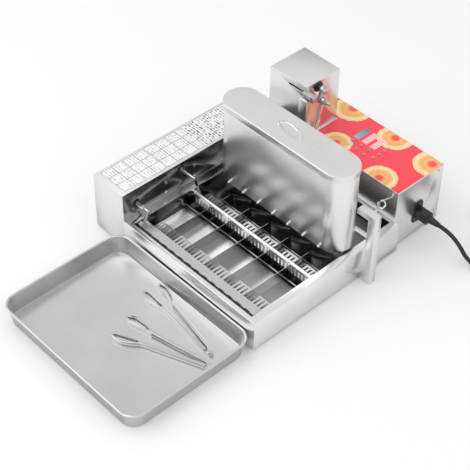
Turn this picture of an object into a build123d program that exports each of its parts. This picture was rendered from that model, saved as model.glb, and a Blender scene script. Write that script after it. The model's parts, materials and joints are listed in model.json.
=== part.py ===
from build123d import *
import math
import os

# Six-lane automatic doughnut fryer, in millimetres.
# +Z is up, -Y is the front (the tray side), +X is the operator's right.
# The origin is under the middle of the machine and its tray, on the table.

# ---- overall sizes ----
BODY_WIDTH = 530.0
TANK_DEPTH = 452.0
BOX_DEPTH = 155.0
HOUSING_WIDTH = 102.0
HOUSING_TOP = 157.0
RIM_TOP = 82.0
BOX_TOP = 165.0
BOX_LEFT_INSET = 75.0
BOX_RIGHT_INSET = 13.5
SHEET = 1.5
FOOT_HEIGHT = 4.0
FOOT_RADIUS = 11.0

# ---- oil basin and lanes ----
LANE_COUNT = 6
LEDGE = 22.0
RIGHT_FLANGE = 20.0
FRONT_LIP = 11.0
REAR_FLANGE = 10.0
FLOOR_TOP = 38.0
DIVIDER_TOP = 70.0
DIVIDER_THICKNESS = 1.2
DIVIDER_FRONT = 52.0
DIVIDER_REAR = 256.0
WING_ACROSS = 46.0
WING_BACK = 15.5
WING_HEIGHT = 12.0
TIE_RADIUS = 2.5
TIE_LIFT = 3.5
TIE_PLACES = (172.0, 243.0)

# ---- flippers ----
ROD_RADIUS = 4.0
MIDDLE_ROD_Y = 190.0
MIDDLE_ROD_Z = 76.0
HINGE_Y = 15.5
HINGE_Z = 78.5
HINGE_PIN = 1.5
KNUCKLE_RADIUS = 3.2
KNUCKLE_COUNT = 28
KNUCKLE_GAP = 0.5
HINGE_LEAF = 1.0
ROD_FIT = 0.05
OPEN_FIT = 0.4
MIDDLE_COMB_LEVEL = 50.0
OUTFEED_COMB_LEVEL = 52.0
COMB_THICKNESS = 1.5
COMB_SIDE_GAP = 2.0
DRIVE_SPACE = 12.5
BEARING_LENGTH = 3.4
BEARING_HALF = 8.0
MIDDLE_COMB_REACH = 42.0
STRIP_THICKNESS = 1.2
STRIP_FRONT = 4.5
STRIP_REAR = 26.5
OUTFEED_SLOPE = 14.0
OUTFEED_REACH = 70.5
SLOT_COUNT = 5
SLOT_WIDTH = 4.5
SLOT_LENGTH = 23.0
THROW_ANGLE = -55.0
MIDDLE_THROW = 28.0
FRONT_THROW = 22.0
MIDDLE_SHAFT_Y = 174.0
MIDDLE_SHAFT_Z = 139.0
FRONT_SHAFT_Y = 40.0
FRONT_SHAFT_Z = 115.0
INNER_ANGLE = -150.0
INNER_THROW = 28.0
DRIVE_PLATE = 3.0
DRIVE_WIDTH = 8.0
PIN_RADIUS = 2.5
BUSH_WALL = 3.0
BUSH_FLANGE = 1.2

# ---- hopper ----
HOPPER_LENGTH = 386.0
HOPPER_WIDTH = 87.0
HOPPER_BACK_Y = 348.0
HOPPER_BOTTOM = 88.0
HOPPER_TOP = 303.0
LID_TOP = 308.0
LID_SEAT = 0.4
LID_LIP = 11.0
LID_GAP = 0.5
NOZZLE_RADIUS = 17.0
NOZZLE_BORE = 15.0
NOZZLE_BOTTOM = 66.0
NOZZLE_TOP = 112.0
NOZZLE_FLANGE = 22.0
PLUNGER_GAP = 0.4
PLUNGER_ROD = 4.0
PLUNGER_DISC = 4.0
PLUNGER_BAR_Z = 272.0
PLUNGER_STROKE = 24.0
CAP_NUT_PITCH = 48.3
CAP_NUT_COUNT = 7
CAP_NUT_RADIUS = 4.2
CAP_NUT_LENGTH = 2.5
CAP_NUT_DOME = 3.4
CAP_NUT_RISE = 4.5
LIFT_BAR_HEIGHT = 10.0
LIFT_BAR_HALF = 7.0
LIFT_ARM_HALF = 5.5
LIFT_STRAP = 6.0
RAIL_GAP = 4.0
RAIL_SHEET = 3.0
RAIL_TAB = 18.0
RAIL_OVERRUN = 8.0

# ---- dosing drive ----
TOWER_LEFT = 121.5
TOWER_WIDTH = 114.0
TOWER_FRONT = 438.0
TOWER_DEPTH = 107.0
TOWER_TOP = 310.0
PLATE_WIDTH = 123.0
PLATE_EAR = 20.0
PLATE_EAR_HEIGHT = 22.0
SLOT_FROM = 61.0
SLOT_TO = 137.0
SLOT_BELOW_TOP = 17.0
DRIVE_Y = 475.0
DRIVE_Z = 295.0
DRIVE_RADIUS = 6.0
BUSH_RADIUS = 13.0
THROW_Y = -7.0
THROW_Z = -23.0
LINK_Y = -38.0
LINK_Z = -119.0
LINK_WIDTH = 11.0
LINK_THICKNESS = 7.0
LINK_PIN = 4.0
CRANK_ARM = 7.0
DRIVE_GAP = 1.0
OUTPUT_ARM = 66.0
ROLLER_RADIUS = 5.0
FORK_GAP = 1.0

# ---- bracket, tray, tongs ----
BRACKET_REACH = 31.0
BRACKET_SECTION = 20.0
BRACKET_Y = 325.0
BRACKET_TOP = 196.0
BRACKET_FOOT_HEIGHT = 12.0
BRACKET_ARM_HEIGHT = 14.0
BRACKET_LAP = 2.0
TRAY_LENGTH = 446.0
TRAY_DEPTH = 337.0
TRAY_HEIGHT = 45.5
TRAY_LEFT = 87.0
TRAY_GAP = 2.0
TRAY_WALL = 1.2
TRAY_CORNER = 34.0
TRAY_RIM = 4.0
TRAY_DRAFT = 5.0
TONG_LENGTH = 232.0
TONG_WIDTH = 15.0
TONG_HEIGHT = 9.0
TONG_SHEET = 1.0
TONG_HEAD = 72.0
TONG_HEAD_WIDTH = 20.0

# ---- mains lead ----
CORD_DIAMETER = 10.0
INLET_Y = 78.0
INLET_Z = 67.0
INLET_WIDTH = 30.0
INLET_HEIGHT = 58.0
CONNECTOR_LENGTH = 34.0
RELIEF_LENGTH = 28.0
COIL_MEAN_DIAMETER = 116.0

# ---- places worked out from the sizes ----
LEFT = -(BODY_WIDTH + BRACKET_REACH) / 2
FRONT = (TRAY_GAP + TRAY_DEPTH - TANK_DEPTH - BOX_DEPTH) / 2
RIGHT = LEFT + BODY_WIDTH
PANEL_X = LEFT + HOUSING_WIDTH
BACK = FRONT + TANK_DEPTH
REAR = BACK + BOX_DEPTH
BASIN_LEFT = PANEL_X + LEDGE
BASIN_RIGHT = RIGHT - RIGHT_FLANGE
BASIN_FRONT = FRONT + FRONT_LIP
BASIN_BACK = BACK - REAR_FLANGE
LANE_PITCH = (BASIN_RIGHT - BASIN_LEFT) / LANE_COUNT
LANE_CENTRES = [BASIN_LEFT + LANE_PITCH * (k + 0.5) for k in range(LANE_COUNT)]
LANES_MIDDLE = (BASIN_LEFT + BASIN_RIGHT) / 2
COMB_WIDTH = LANE_PITCH - DIVIDER_THICKNESS - 2 * COMB_SIDE_GAP
COMB_SPANS = [(centre - COMB_WIDTH / 2, centre + COMB_WIDTH / 2) for centre in LANE_CENTRES]
COMB_SPANS[0] = (BASIN_LEFT + DRIVE_SPACE, COMB_SPANS[0][1])
COMB_SPANS[-1] = (COMB_SPANS[-1][0], BASIN_RIGHT - BEARING_LENGTH - COMB_SIDE_GAP)
BOX_LEFT = LEFT + BOX_LEFT_INSET
BOX_RIGHT = RIGHT - BOX_RIGHT_INSET
PAN_BOTTOM = FOOT_HEIGHT
HOPPER_Y = FRONT + HOPPER_BACK_Y - HOPPER_WIDTH / 2
TOWER_X = LEFT + TOWER_LEFT
TOWER_Y = FRONT + TOWER_FRONT
TOWER_RIGHT = TOWER_X + TOWER_WIDTH
PLATE_X = TOWER_X - 3.0
SLOT_Z = TOWER_TOP - SLOT_BELOW_TOP
BELL_Y = DRIVE_Y + LINK_Y
BELL_Z = DRIVE_Z + LINK_Z
ARM_X = TOWER_RIGHT + SHEET + 12.0
LINK_X = ARM_X + CRANK_ARM + DRIVE_GAP

pieces = {}


def keep(name, piece):
    """Label a finished piece and remember it for export."""
    piece.part.label = name
    pieces[name] = piece


def block(x0, x1, y0, y1, z0, z1, mode=Mode.ADD):
    """Add a box given by its low and high sides."""
    with Locations(((x0 + x1) / 2, (y0 + y1) / 2, (z0 + z1) / 2)):
        Box(x1 - x0, y1 - y0, z1 - z0, mode=mode)


def bar_x(x0, x1, y, z, radius, mode=Mode.ADD):
    """Add a round bar along X."""
    with Locations(((x0 + x1) / 2, y, z)):
        Cylinder(radius, x1 - x0, rotation=(0, 90, 0), mode=mode)


def bar_y(x, y0, y1, z, radius, mode=Mode.ADD):
    """Add a round bar along Y."""
    with Locations((x, (y0 + y1) / 2, z)):
        Cylinder(radius, y1 - y0, rotation=(90, 0, 0), mode=mode)


def bar_z(x, y, z0, z1, radius, mode=Mode.ADD):
    """Add a round bar along Z."""
    with Locations((x, y, (z0 + z1) / 2)):
        Cylinder(radius, z1 - z0, mode=mode)


def strap(x0, x1, start, end, width, mode=Mode.ADD):
    """Add a flat round-ended bar in the YZ plane between two (y, z) points."""
    with BuildSketch(Plane.YZ.offset(x0)) as outline:
        with BuildLine():
            Line(start, end)
        trace(line_width=width)
        with Locations(start, end):
            Circle(width / 2)
    extrude(outline.sketch, amount=x1 - x0, mode=mode)


def profile_x(x0, x1, points, mode=Mode.ADD):
    """Add a prism along X with a polygon outline of (y, z) points."""
    with BuildSketch(Plane.YZ.offset(x0)) as outline:
        with BuildLine():
            Polyline(*points, close=True)
        make_face()
    extrude(outline.sketch, amount=x1 - x0, mode=mode)


# ---- housing and panel ----
with BuildPart() as left_housing:
    block(LEFT, PANEL_X, FRONT, BACK, PAN_BOTTOM, HOUSING_TOP)
    fillet(left_housing.edges().filter_by(Axis.Y).group_by(Axis.Z)[-1], 2.0)
    block(LEFT + SHEET, PANEL_X, FRONT + SHEET, BACK - SHEET, PAN_BOTTOM, HOUSING_TOP - SHEET, Mode.SUBTRACT)
keep("left_housing", left_housing)

SHAFT_HOLES = ((FRONT + MIDDLE_SHAFT_Y, MIDDLE_SHAFT_Z), (FRONT + FRONT_SHAFT_Y, FRONT_SHAFT_Z))
with BuildPart() as drive_panel:
    block(PANEL_X - SHEET, PANEL_X, FRONT + SHEET, BACK - SHEET, PAN_BOTTOM + SHEET, HOUSING_TOP - SHEET)
    for hole_y, hole_z in SHAFT_HOLES:
        bar_x(PANEL_X - SHEET, PANEL_X, hole_y, hole_z, ROD_RADIUS + BUSH_WALL, Mode.SUBTRACT)
keep("drive_panel", drive_panel)

LABEL_THICKNESS = 0.3
with BuildPart() as housing_label:
    block(LEFT + 8, PANEL_X - 8, FRONT + 14, FRONT + 392, HOUSING_TOP, HOUSING_TOP + LABEL_THICKNESS)
keep("housing_label", housing_label)

# ---- oil tank ----
with BuildPart() as oil_tank:
    block(PANEL_X, RIGHT, FRONT, BACK, PAN_BOTTOM, RIM_TOP)
    block(PANEL_X + SHEET, RIGHT - SHEET, FRONT + SHEET, BACK - SHEET, PAN_BOTTOM, RIM_TOP - SHEET, Mode.SUBTRACT)
    block(BASIN_LEFT - SHEET, BASIN_RIGHT + SHEET, BASIN_FRONT - SHEET, BASIN_BACK + SHEET,
          FLOOR_TOP - SHEET, RIM_TOP)
    block(BASIN_LEFT, BASIN_RIGHT, BASIN_FRONT, BASIN_BACK, FLOOR_TOP, RIM_TOP, Mode.SUBTRACT)
    for x0, x1 in ((BASIN_LEFT, BASIN_LEFT + BEARING_LENGTH), (BASIN_RIGHT - BEARING_LENGTH, BASIN_RIGHT)):
        rod_y = FRONT + MIDDLE_ROD_Y
        block(x0, x1, rod_y - BEARING_HALF, rod_y + BEARING_HALF, MIDDLE_ROD_Z - BEARING_HALF - 1, RIM_TOP - 0.5)
        bar_x(x0, x1, rod_y, MIDDLE_ROD_Z, ROD_RADIUS + ROD_FIT, Mode.SUBTRACT)
    front_edge = oil_tank.edges().filter_by(Axis.X).group_by(Axis.Y)[0].sort_by(Axis.Z)[-1]
    fillet(front_edge, 1.2)
keep("oil_tank", oil_tank)

with BuildPart() as shaft_bushes:
    for hole_y, hole_z in SHAFT_HOLES:
        bar_x(PANEL_X - SHEET - 2, PANEL_X, hole_y, hole_z, ROD_RADIUS + BUSH_WALL)
        bar_x(PANEL_X, PANEL_X + BUSH_FLANGE, hole_y, hole_z, ROD_RADIUS + BUSH_WALL + 2)
        bar_x(PANEL_X - SHEET - 2, PANEL_X + BUSH_FLANGE, hole_y, hole_z, ROD_RADIUS + ROD_FIT, Mode.SUBTRACT)
    bar_x(TOWER_RIGHT - SHEET - 2, TOWER_RIGHT + 2.5, FRONT + DRIVE_Y, DRIVE_Z, BUSH_RADIUS)
    bar_x(TOWER_RIGHT - SHEET - 2, TOWER_RIGHT + 2.5, FRONT + DRIVE_Y, DRIVE_Z, DRIVE_RADIUS + ROD_FIT,
          Mode.SUBTRACT)
keep("shaft_bushes", shaft_bushes)

with BuildPart() as base_plate:
    block(LEFT + SHEET, PANEL_X, FRONT + SHEET, BACK - SHEET, PAN_BOTTOM, PAN_BOTTOM + SHEET)
    block(PANEL_X + SHEET, RIGHT - SHEET, FRONT + SHEET, BACK - SHEET, PAN_BOTTOM, PAN_BOTTOM + SHEET)
    block(BOX_LEFT + SHEET, BOX_RIGHT - SHEET, BACK + SHEET, REAR - SHEET, PAN_BOTTOM, PAN_BOTTOM + SHEET)
keep("base_plate", base_plate)

FOOT_INSET = 26.0
with BuildPart() as rubber_feet:
    for foot_x, foot_y in (
        (LEFT + FOOT_INSET, FRONT + FOOT_INSET),
        (RIGHT - FOOT_INSET, FRONT + FOOT_INSET),
        (LEFT + FOOT_INSET, BACK - FOOT_INSET),
        (RIGHT - FOOT_INSET, BACK - FOOT_INSET),
        (BOX_LEFT + FOOT_INSET, REAR - FOOT_INSET),
        (BOX_RIGHT - FOOT_INSET, REAR - FOOT_INSET),
    ):
        bar_z(foot_x, foot_y, 0, FOOT_HEIGHT, FOOT_RADIUS)
keep("rubber_feet", rubber_feet)

HEATER_RADIUS = 4.0
HEATER_LOOPS = 3
HEATER_SPAN = 46.0
with BuildPart() as heater_tubes:
    for loop in range(HEATER_LOOPS):
        middle = LANES_MIDDLE + (loop - 1) * 2 * LANE_PITCH
        near = BACK - 40.0
        far = FRONT + 60.0
        low = FLOOR_TOP - SHEET - HEATER_RADIUS - 1.0
        with BuildLine() as heater_path:
            FilletPolyline(
                (middle - HEATER_SPAN, near, low),
                (middle - HEATER_SPAN, far, low),
                (middle + HEATER_SPAN, far, low),
                (middle + HEATER_SPAN, near, low),
                radius=HEATER_SPAN / 2,
            )
        with BuildSketch(Plane(origin=(middle - HEATER_SPAN, near, low), z_dir=(0, -1, 0))):
            Circle(HEATER_RADIUS)
        sweep(path=heater_path.wires()[0])
keep("heater_tubes", heater_tubes)

# ---- lane dividers ----
with BuildPart() as lane_dividers:
    for k in range(1, LANE_COUNT):
        plate_x = BASIN_LEFT + k * LANE_PITCH
        rear = FRONT + DIVIDER_REAR
        block(plate_x - DIVIDER_THICKNESS / 2, plate_x + DIVIDER_THICKNESS / 2,
              FRONT + DIVIDER_FRONT, rear, FLOOR_TOP, DIVIDER_TOP)
        with BuildSketch(Plane.XY.offset(DIVIDER_TOP - WING_HEIGHT)):
            with BuildLine():
                Line((plate_x, rear - DIVIDER_THICKNESS), (plate_x + WING_ACROSS, rear + WING_BACK))
            trace(line_width=DIVIDER_THICKNESS)
        extrude(amount=WING_HEIGHT)
    for tie_y in TIE_PLACES:
        bar_x(BASIN_LEFT, BASIN_RIGHT, FRONT + tie_y, FLOOR_TOP + TIE_LIFT, TIE_RADIUS)
keep("lane_dividers", lane_dividers)

# ---- places in the flipper drive ----


def throw(radius, angle):
    """The (y, z) offset of a crank pin at an angle from +Y towards +Z."""
    return (radius * math.cos(math.radians(angle)), radius * math.sin(math.radians(angle)))


def moved(point, step):
    """A (y, z) point moved by a (y, z) step."""
    return (point[0] + step[0], point[1] + step[1])


MIDDLE_ROD = (FRONT + MIDDLE_ROD_Y, MIDDLE_ROD_Z)
HINGE = (FRONT + HINGE_Y, HINGE_Z)
MIDDLE_SHAFT = (FRONT + MIDDLE_SHAFT_Y, MIDDLE_SHAFT_Z)
FRONT_SHAFT = (FRONT + FRONT_SHAFT_Y, FRONT_SHAFT_Z)
middle_step = throw(MIDDLE_THROW, THROW_ANGLE)
front_step = throw(FRONT_THROW, THROW_ANGLE)
inner_step = throw(INNER_THROW, INNER_ANGLE)
LEVER_X = PANEL_X + 2.0
LINK_PLANE_X = BASIN_LEFT + 4.0
CRANK_PLANE_X = LINK_PLANE_X + DRIVE_PLATE + OPEN_FIT
INNER_X = PANEL_X - 18.0
TIE_X = INNER_X - 5.0

# ---- middle flipper ----
with BuildPart() as middle_flipper_rod:
    pin = moved(MIDDLE_ROD, middle_step)
    bar_x(BASIN_LEFT + 0.5, BASIN_RIGHT - 0.5, *MIDDLE_ROD, ROD_RADIUS)
    strap(CRANK_PLANE_X, CRANK_PLANE_X + DRIVE_PLATE, MIDDLE_ROD, pin, DRIVE_WIDTH + 3)
    bar_x(LINK_PLANE_X - 1, CRANK_PLANE_X, *pin, PIN_RADIUS)
keep("middle_flipper_rod", middle_flipper_rod)


def slots(span, y0, y1, z0, z1):
    """Cut one comb's row of slots through a box of the given depth and height."""
    step = COMB_WIDTH / (SLOT_COUNT + 0.5)
    middle = (span[0] + span[1]) / 2
    for s in range(SLOT_COUNT):
        x = middle + (s - (SLOT_COUNT - 1) / 2) * step * (span[1] - span[0]) / COMB_WIDTH
        block(x - SLOT_WIDTH / 2, x + SLOT_WIDTH / 2, y0, y1, z0, z1, Mode.SUBTRACT)


with BuildPart() as middle_flipper_combs:
    web_y = MIDDLE_ROD[0] - ROD_RADIUS - COMB_THICKNESS
    comb_end = MIDDLE_ROD[0] + MIDDLE_COMB_REACH
    level = MIDDLE_COMB_LEVEL
    for span in COMB_SPANS:
        block(*span, web_y, web_y + COMB_THICKNESS, level, MIDDLE_ROD_Z + 2)
        block(*span, web_y, comb_end, level, level + COMB_THICKNESS)
        slots(span, comb_end - 6 - SLOT_LENGTH, comb_end - 6, level, level + COMB_THICKNESS)
        slots(span, web_y, web_y + COMB_THICKNESS, level + 5, MIDDLE_ROD_Z - ROD_RADIUS - 1)
keep("middle_flipper_combs", middle_flipper_combs)

# ---- outfeed flipper on its long hinge ----
strip_left = BASIN_LEFT + COMB_SIDE_GAP
strip_right = BASIN_RIGHT - COMB_SIDE_GAP
HINGE_LEFT = BASIN_LEFT + DRIVE_SPACE
knuckle_pitch = (strip_right - HINGE_LEFT) / KNUCKLE_COUNT
with BuildPart() as hinge_leaf:
    block(HINGE_LEFT, strip_right, BASIN_FRONT, BASIN_FRONT + HINGE_LEAF, FLOOR_TOP + 22, HINGE_Z)
    for k in range(0, KNUCKLE_COUNT, 2):
        x0 = HINGE_LEFT + k * knuckle_pitch
        x1 = x0 + knuckle_pitch - KNUCKLE_GAP
        bar_x(x0, x1, *HINGE, KNUCKLE_RADIUS)
        block(x0, x1, BASIN_FRONT, HINGE[0], HINGE_Z - KNUCKLE_RADIUS, HINGE_Z)
    bar_x(HINGE_LEFT, strip_right, *HINGE, HINGE_PIN)
keep("hinge_leaf", hinge_leaf)

with BuildPart() as outfeed_comb:
    strip_end = HINGE[0] + STRIP_REAR
    slope_end = strip_end + OUTFEED_SLOPE
    tongue_end = HINGE[0] + OUTFEED_REACH
    strip_low = HINGE_Z + 0.3
    strip_top = strip_low + STRIP_THICKNESS
    level = OUTFEED_COMB_LEVEL
    block(strip_left, strip_right, HINGE[0] + STRIP_FRONT, strip_end, strip_low, strip_top)
    for k in range(1, KNUCKLE_COUNT, 2):
        x0 = HINGE_LEFT + k * knuckle_pitch
        x1 = x0 + knuckle_pitch - KNUCKLE_GAP
        bar_x(x0, x1, *HINGE, KNUCKLE_RADIUS)
        block(x0, x1, HINGE[0], HINGE[0] + STRIP_FRONT, strip_low, strip_top)
    for span in COMB_SPANS:
        profile_x(*span, (
            (strip_end - COMB_THICKNESS, strip_low), (slope_end - COMB_THICKNESS, level),
            (tongue_end, level), (tongue_end, level + COMB_THICKNESS),
            (slope_end, level + COMB_THICKNESS), (strip_end, strip_low),
        ))
        slots(span, tongue_end - 4 - SLOT_LENGTH, tongue_end - 4, level, level + COMB_THICKNESS)
    bar_x(strip_left, strip_right, *HINGE, HINGE_PIN + ROD_FIT, Mode.SUBTRACT)
    block(strip_left, BASIN_LEFT + 9, HINGE[0] + STRIP_REAR - 10, strip_end, strip_low, strip_top, Mode.SUBTRACT)
    pin = moved(HINGE, front_step)
    profile_x(CRANK_PLANE_X, CRANK_PLANE_X + DRIVE_PLATE, (
        (HINGE[0] + STRIP_FRONT, strip_low), (pin[0] - DRIVE_WIDTH / 2, pin[1]),
        (pin[0] + DRIVE_WIDTH / 2, pin[1]), (HINGE[0] + STRIP_FRONT + 12, strip_low),
    ))
    bar_x(CRANK_PLANE_X, CRANK_PLANE_X + DRIVE_PLATE, *pin, DRIVE_WIDTH / 2)
    bar_x(LINK_PLANE_X - 1, CRANK_PLANE_X, *pin, PIN_RADIUS)
keep("outfeed_comb", outfeed_comb)

# ---- drive levers, links and tie bar ----


def drive_lever(shaft, step, inner_end):
    """A lever and its shaft: the plate outside the panel, its long pin and the inner crank."""
    pin = moved(shaft, step)
    inner_pin = moved(shaft, inner_step)
    bar_x(inner_end, LEVER_X + DRIVE_PLATE, *shaft, ROD_RADIUS)
    strap(LEVER_X, LEVER_X + DRIVE_PLATE, shaft, pin, DRIVE_WIDTH + 2)
    bar_x(LEVER_X, LINK_PLANE_X + DRIVE_PLATE + 1, *pin, PIN_RADIUS)
    strap(INNER_X, INNER_X + DRIVE_PLATE, shaft, inner_pin, DRIVE_WIDTH + 2)
    bar_x(TIE_X - 1, INNER_X, *inner_pin, PIN_RADIUS)


GEAR_FACE_X = LEFT + 60.0
with BuildPart() as middle_lever:
    drive_lever(MIDDLE_SHAFT, middle_step, GEAR_FACE_X + 1)
keep("middle_lever", middle_lever)

with BuildPart() as front_lever:
    drive_lever(FRONT_SHAFT, front_step, INNER_X)
keep("front_lever", front_lever)


def drive_link(x, start, end):
    """A flat link with a close bore on its start pin and an open bore on its end pin."""
    strap(x, x + DRIVE_PLATE, start, end, DRIVE_WIDTH)
    bar_x(x, x + DRIVE_PLATE, *start, PIN_RADIUS + ROD_FIT, Mode.SUBTRACT)
    bar_x(x, x + DRIVE_PLATE, *end, PIN_RADIUS + OPEN_FIT, Mode.SUBTRACT)


with BuildPart() as middle_link:
    drive_link(LINK_PLANE_X, moved(MIDDLE_SHAFT, middle_step), moved(MIDDLE_ROD, middle_step))
keep("middle_link", middle_link)

with BuildPart() as front_link:
    drive_link(LINK_PLANE_X, moved(FRONT_SHAFT, front_step), moved(HINGE, front_step))
keep("front_link", front_link)

with BuildPart() as tie_bar:
    drive_link(TIE_X, moved(MIDDLE_SHAFT, inner_step), moved(FRONT_SHAFT, inner_step))
keep("tie_bar", tie_bar)

with BuildPart() as flipper_gearmotor:
    block(GEAR_FACE_X - 26, GEAR_FACE_X, MIDDLE_SHAFT[0] - 16, MIDDLE_SHAFT[0] + 44,
          PAN_BOTTOM + SHEET, MIDDLE_SHAFT_Z + 12)
    bar_x(GEAR_FACE_X - 56, GEAR_FACE_X - 26, MIDDLE_SHAFT[0] + 14, MIDDLE_SHAFT_Z - 36, 24.0)
keep("flipper_gearmotor", flipper_gearmotor)

# ---- control box ----
INLET_PLACE_Y = BACK + INLET_Y
INLET_CUT_WIDTH = INLET_WIDTH - 8.0
INLET_CUT_HEIGHT = INLET_HEIGHT - 26.0
with BuildPart() as control_box:
    block(BOX_LEFT, BOX_RIGHT, BACK, REAR, PAN_BOTTOM, BOX_TOP)
    fillet(control_box.edges().filter_by(Axis.Y).group_by(Axis.Z)[-1], 1.2)
    block(BOX_LEFT + SHEET, BOX_RIGHT - SHEET, BACK + SHEET, REAR - SHEET, PAN_BOTTOM, BOX_TOP - SHEET,
          Mode.SUBTRACT)
    block(BOX_RIGHT - SHEET, BOX_RIGHT, INLET_PLACE_Y - INLET_CUT_WIDTH / 2, INLET_PLACE_Y + INLET_CUT_WIDTH / 2,
          INLET_Z - INLET_CUT_HEIGHT / 2, INLET_Z + INLET_CUT_HEIGHT / 2, Mode.SUBTRACT)
    block(BOX_LEFT + SHEET, BOX_RIGHT - SHEET, REAR - SHEET, REAR, PAN_BOTTOM, BOX_TOP - SHEET, Mode.SUBTRACT)
keep("control_box", control_box)

VENT_COUNT = 7
VENT_PITCH = 9.0
with BuildPart() as box_rear_panel:
    block(BOX_LEFT + SHEET, BOX_RIGHT - SHEET, REAR - SHEET, REAR, PAN_BOTTOM, BOX_TOP - SHEET)
    for row in range(VENT_COUNT):
        vent_z = 60 + row * VENT_PITCH
        block(LANES_MIDDLE - 60, LANES_MIDDLE + 60, REAR - SHEET, REAR, vent_z, vent_z + 3.5, Mode.SUBTRACT)
keep("box_rear_panel", box_rear_panel)

OVERLAY_THICKNESS = 0.5
OVERLAY_TOP = BOX_TOP + OVERLAY_THICKNESS
OVERLAY_GAP = 2.5
OVERLAY_BEHIND_TOWER = 60.0
OVERLAY_LEFT = TOWER_RIGHT - OVERLAY_BEHIND_TOWER
DISPLAY_COLUMNS = (317.0, 342.0, 368.0)
DISPLAY_WIDTH = 17.0
DISPLAY_Y0 = 526.5
DISPLAY_Y1 = 571.5
KEY_RADIUS = 4.4
KEY_CUT = 4.8
KEY_GAP = 0.8
KEY_HEIGHT = 1.0
KEY_PLACES = ((317.0, 516.0), (344.0, 515.0), (345.0, 498.0), (368.0, 516.0), (370.0, 496.0),
              (392.0, 503.0), (394.0, 522.0), (393.5, 539.0))
LED_PLACES = ((320.0, 496.0), (392.5, 555.0))
LED_RADIUS = 4.0
display_spans = [(LEFT + x - DISPLAY_WIDTH / 2, LEFT + x + DISPLAY_WIDTH / 2) for x in DISPLAY_COLUMNS]
key_places = [(LEFT + x, FRONT + y) for x, y in KEY_PLACES]
with BuildPart() as control_overlay:
    block(OVERLAY_LEFT, BOX_RIGHT - 2.0, BACK + 1.5, REAR - 1.5, BOX_TOP, OVERLAY_TOP)
    block(OVERLAY_LEFT, TOWER_RIGHT + OVERLAY_GAP, BACK, TOWER_Y + TOWER_DEPTH + OVERLAY_GAP,
          BOX_TOP, OVERLAY_TOP, Mode.SUBTRACT)
    for span in display_spans:
        block(*span, FRONT + DISPLAY_Y0, FRONT + DISPLAY_Y1, BOX_TOP, OVERLAY_TOP, Mode.SUBTRACT)
    for x, y in key_places:
        bar_z(x, y, BOX_TOP, OVERLAY_TOP, KEY_CUT, Mode.SUBTRACT)
    for x, y in LED_PLACES:
        bar_z(LEFT + x, FRONT + y, BOX_TOP, OVERLAY_TOP, LED_RADIUS, Mode.SUBTRACT)
keep("control_overlay", control_overlay)

with BuildPart() as display_windows:
    for span in display_spans:
        block(*span, FRONT + DISPLAY_Y0, FRONT + DISPLAY_Y1, BOX_TOP, OVERLAY_TOP)
keep("display_windows", display_windows)

with BuildPart() as indicator_lights:
    for x, y in LED_PLACES:
        bar_z(LEFT + x, FRONT + y, BOX_TOP, OVERLAY_TOP + 0.6, LED_RADIUS)
keep("indicator_lights", indicator_lights)

for number, (x, y) in enumerate(key_places, start=1):
    with BuildPart() as key:
        bar_z(x, y, BOX_TOP + KEY_GAP, BOX_TOP + KEY_GAP + KEY_HEIGHT, KEY_RADIUS)
        fillet(key.edges().group_by(Axis.Z)[-1], 0.4)
    keep(f"key_{number}", key)

with BuildPart() as power_inlet:
    block(BOX_RIGHT, BOX_RIGHT + 3.0, INLET_PLACE_Y - INLET_WIDTH / 2, INLET_PLACE_Y + INLET_WIDTH / 2,
          INLET_Z - INLET_HEIGHT / 2, INLET_Z + INLET_HEIGHT / 2)
    fillet(power_inlet.edges().filter_by(Axis.X), 6.0)
    block(BOX_RIGHT - 22, BOX_RIGHT, INLET_PLACE_Y - INLET_CUT_WIDTH / 2, INLET_PLACE_Y + INLET_CUT_WIDTH / 2,
          INLET_Z - INLET_CUT_HEIGHT / 2, INLET_Z + INLET_CUT_HEIGHT / 2)
    for side in (-1, 1):
        bar_x(BOX_RIGHT + 3, BOX_RIGHT + 4.5, INLET_PLACE_Y, INLET_Z + side * (INLET_HEIGHT / 2 - 6.5), 3.2)
keep("power_inlet", power_inlet)

# ---- tower ----
with BuildPart() as tower_shell:
    block(TOWER_X, TOWER_RIGHT, TOWER_Y, TOWER_Y + TOWER_DEPTH, BOX_TOP, TOWER_TOP)
    block(TOWER_X + SHEET, TOWER_RIGHT - SHEET, TOWER_Y, TOWER_Y + TOWER_DEPTH - SHEET,
          BOX_TOP + SHEET, TOWER_TOP - SHEET, Mode.SUBTRACT)
    bar_x(TOWER_RIGHT - SHEET, TOWER_RIGHT, FRONT + DRIVE_Y, DRIVE_Z, BUSH_RADIUS, Mode.SUBTRACT)
keep("tower_shell", tower_shell)

PLATE_Y = TOWER_Y - SHEET
PLATE_RIGHT = PLATE_X + PLATE_WIDTH
EAR_TOP = TOWER_TOP - 7.0
GUIDE_WIDTH = 25.0
GUIDE_DEPTH = 4.0
GUIDE_TOP = 273.0
SLOT_HALF = 2.2
with BuildPart() as tower_front_plate:
    block(PLATE_X, PLATE_RIGHT, PLATE_Y, TOWER_Y, BOX_TOP + 1.0, TOWER_TOP)
    block(PLATE_RIGHT - 1, PLATE_RIGHT + PLATE_EAR, PLATE_Y, TOWER_Y, EAR_TOP - PLATE_EAR_HEIGHT, EAR_TOP)
    ear_edges = tower_front_plate.edges().filter_by(Axis.Y).group_by(Axis.X)[-1]
    fillet(ear_edges, 5.0)
    block(PLATE_RIGHT - GUIDE_WIDTH, PLATE_RIGHT, PLATE_Y - GUIDE_DEPTH, PLATE_Y, BOX_TOP + 1.0, GUIDE_TOP)
    block(PLATE_X + SLOT_FROM, PLATE_X + SLOT_TO, PLATE_Y, TOWER_Y, SLOT_Z - SLOT_HALF, SLOT_Z + SLOT_HALF,
          Mode.SUBTRACT)
keep("tower_front_plate", tower_front_plate)

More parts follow.
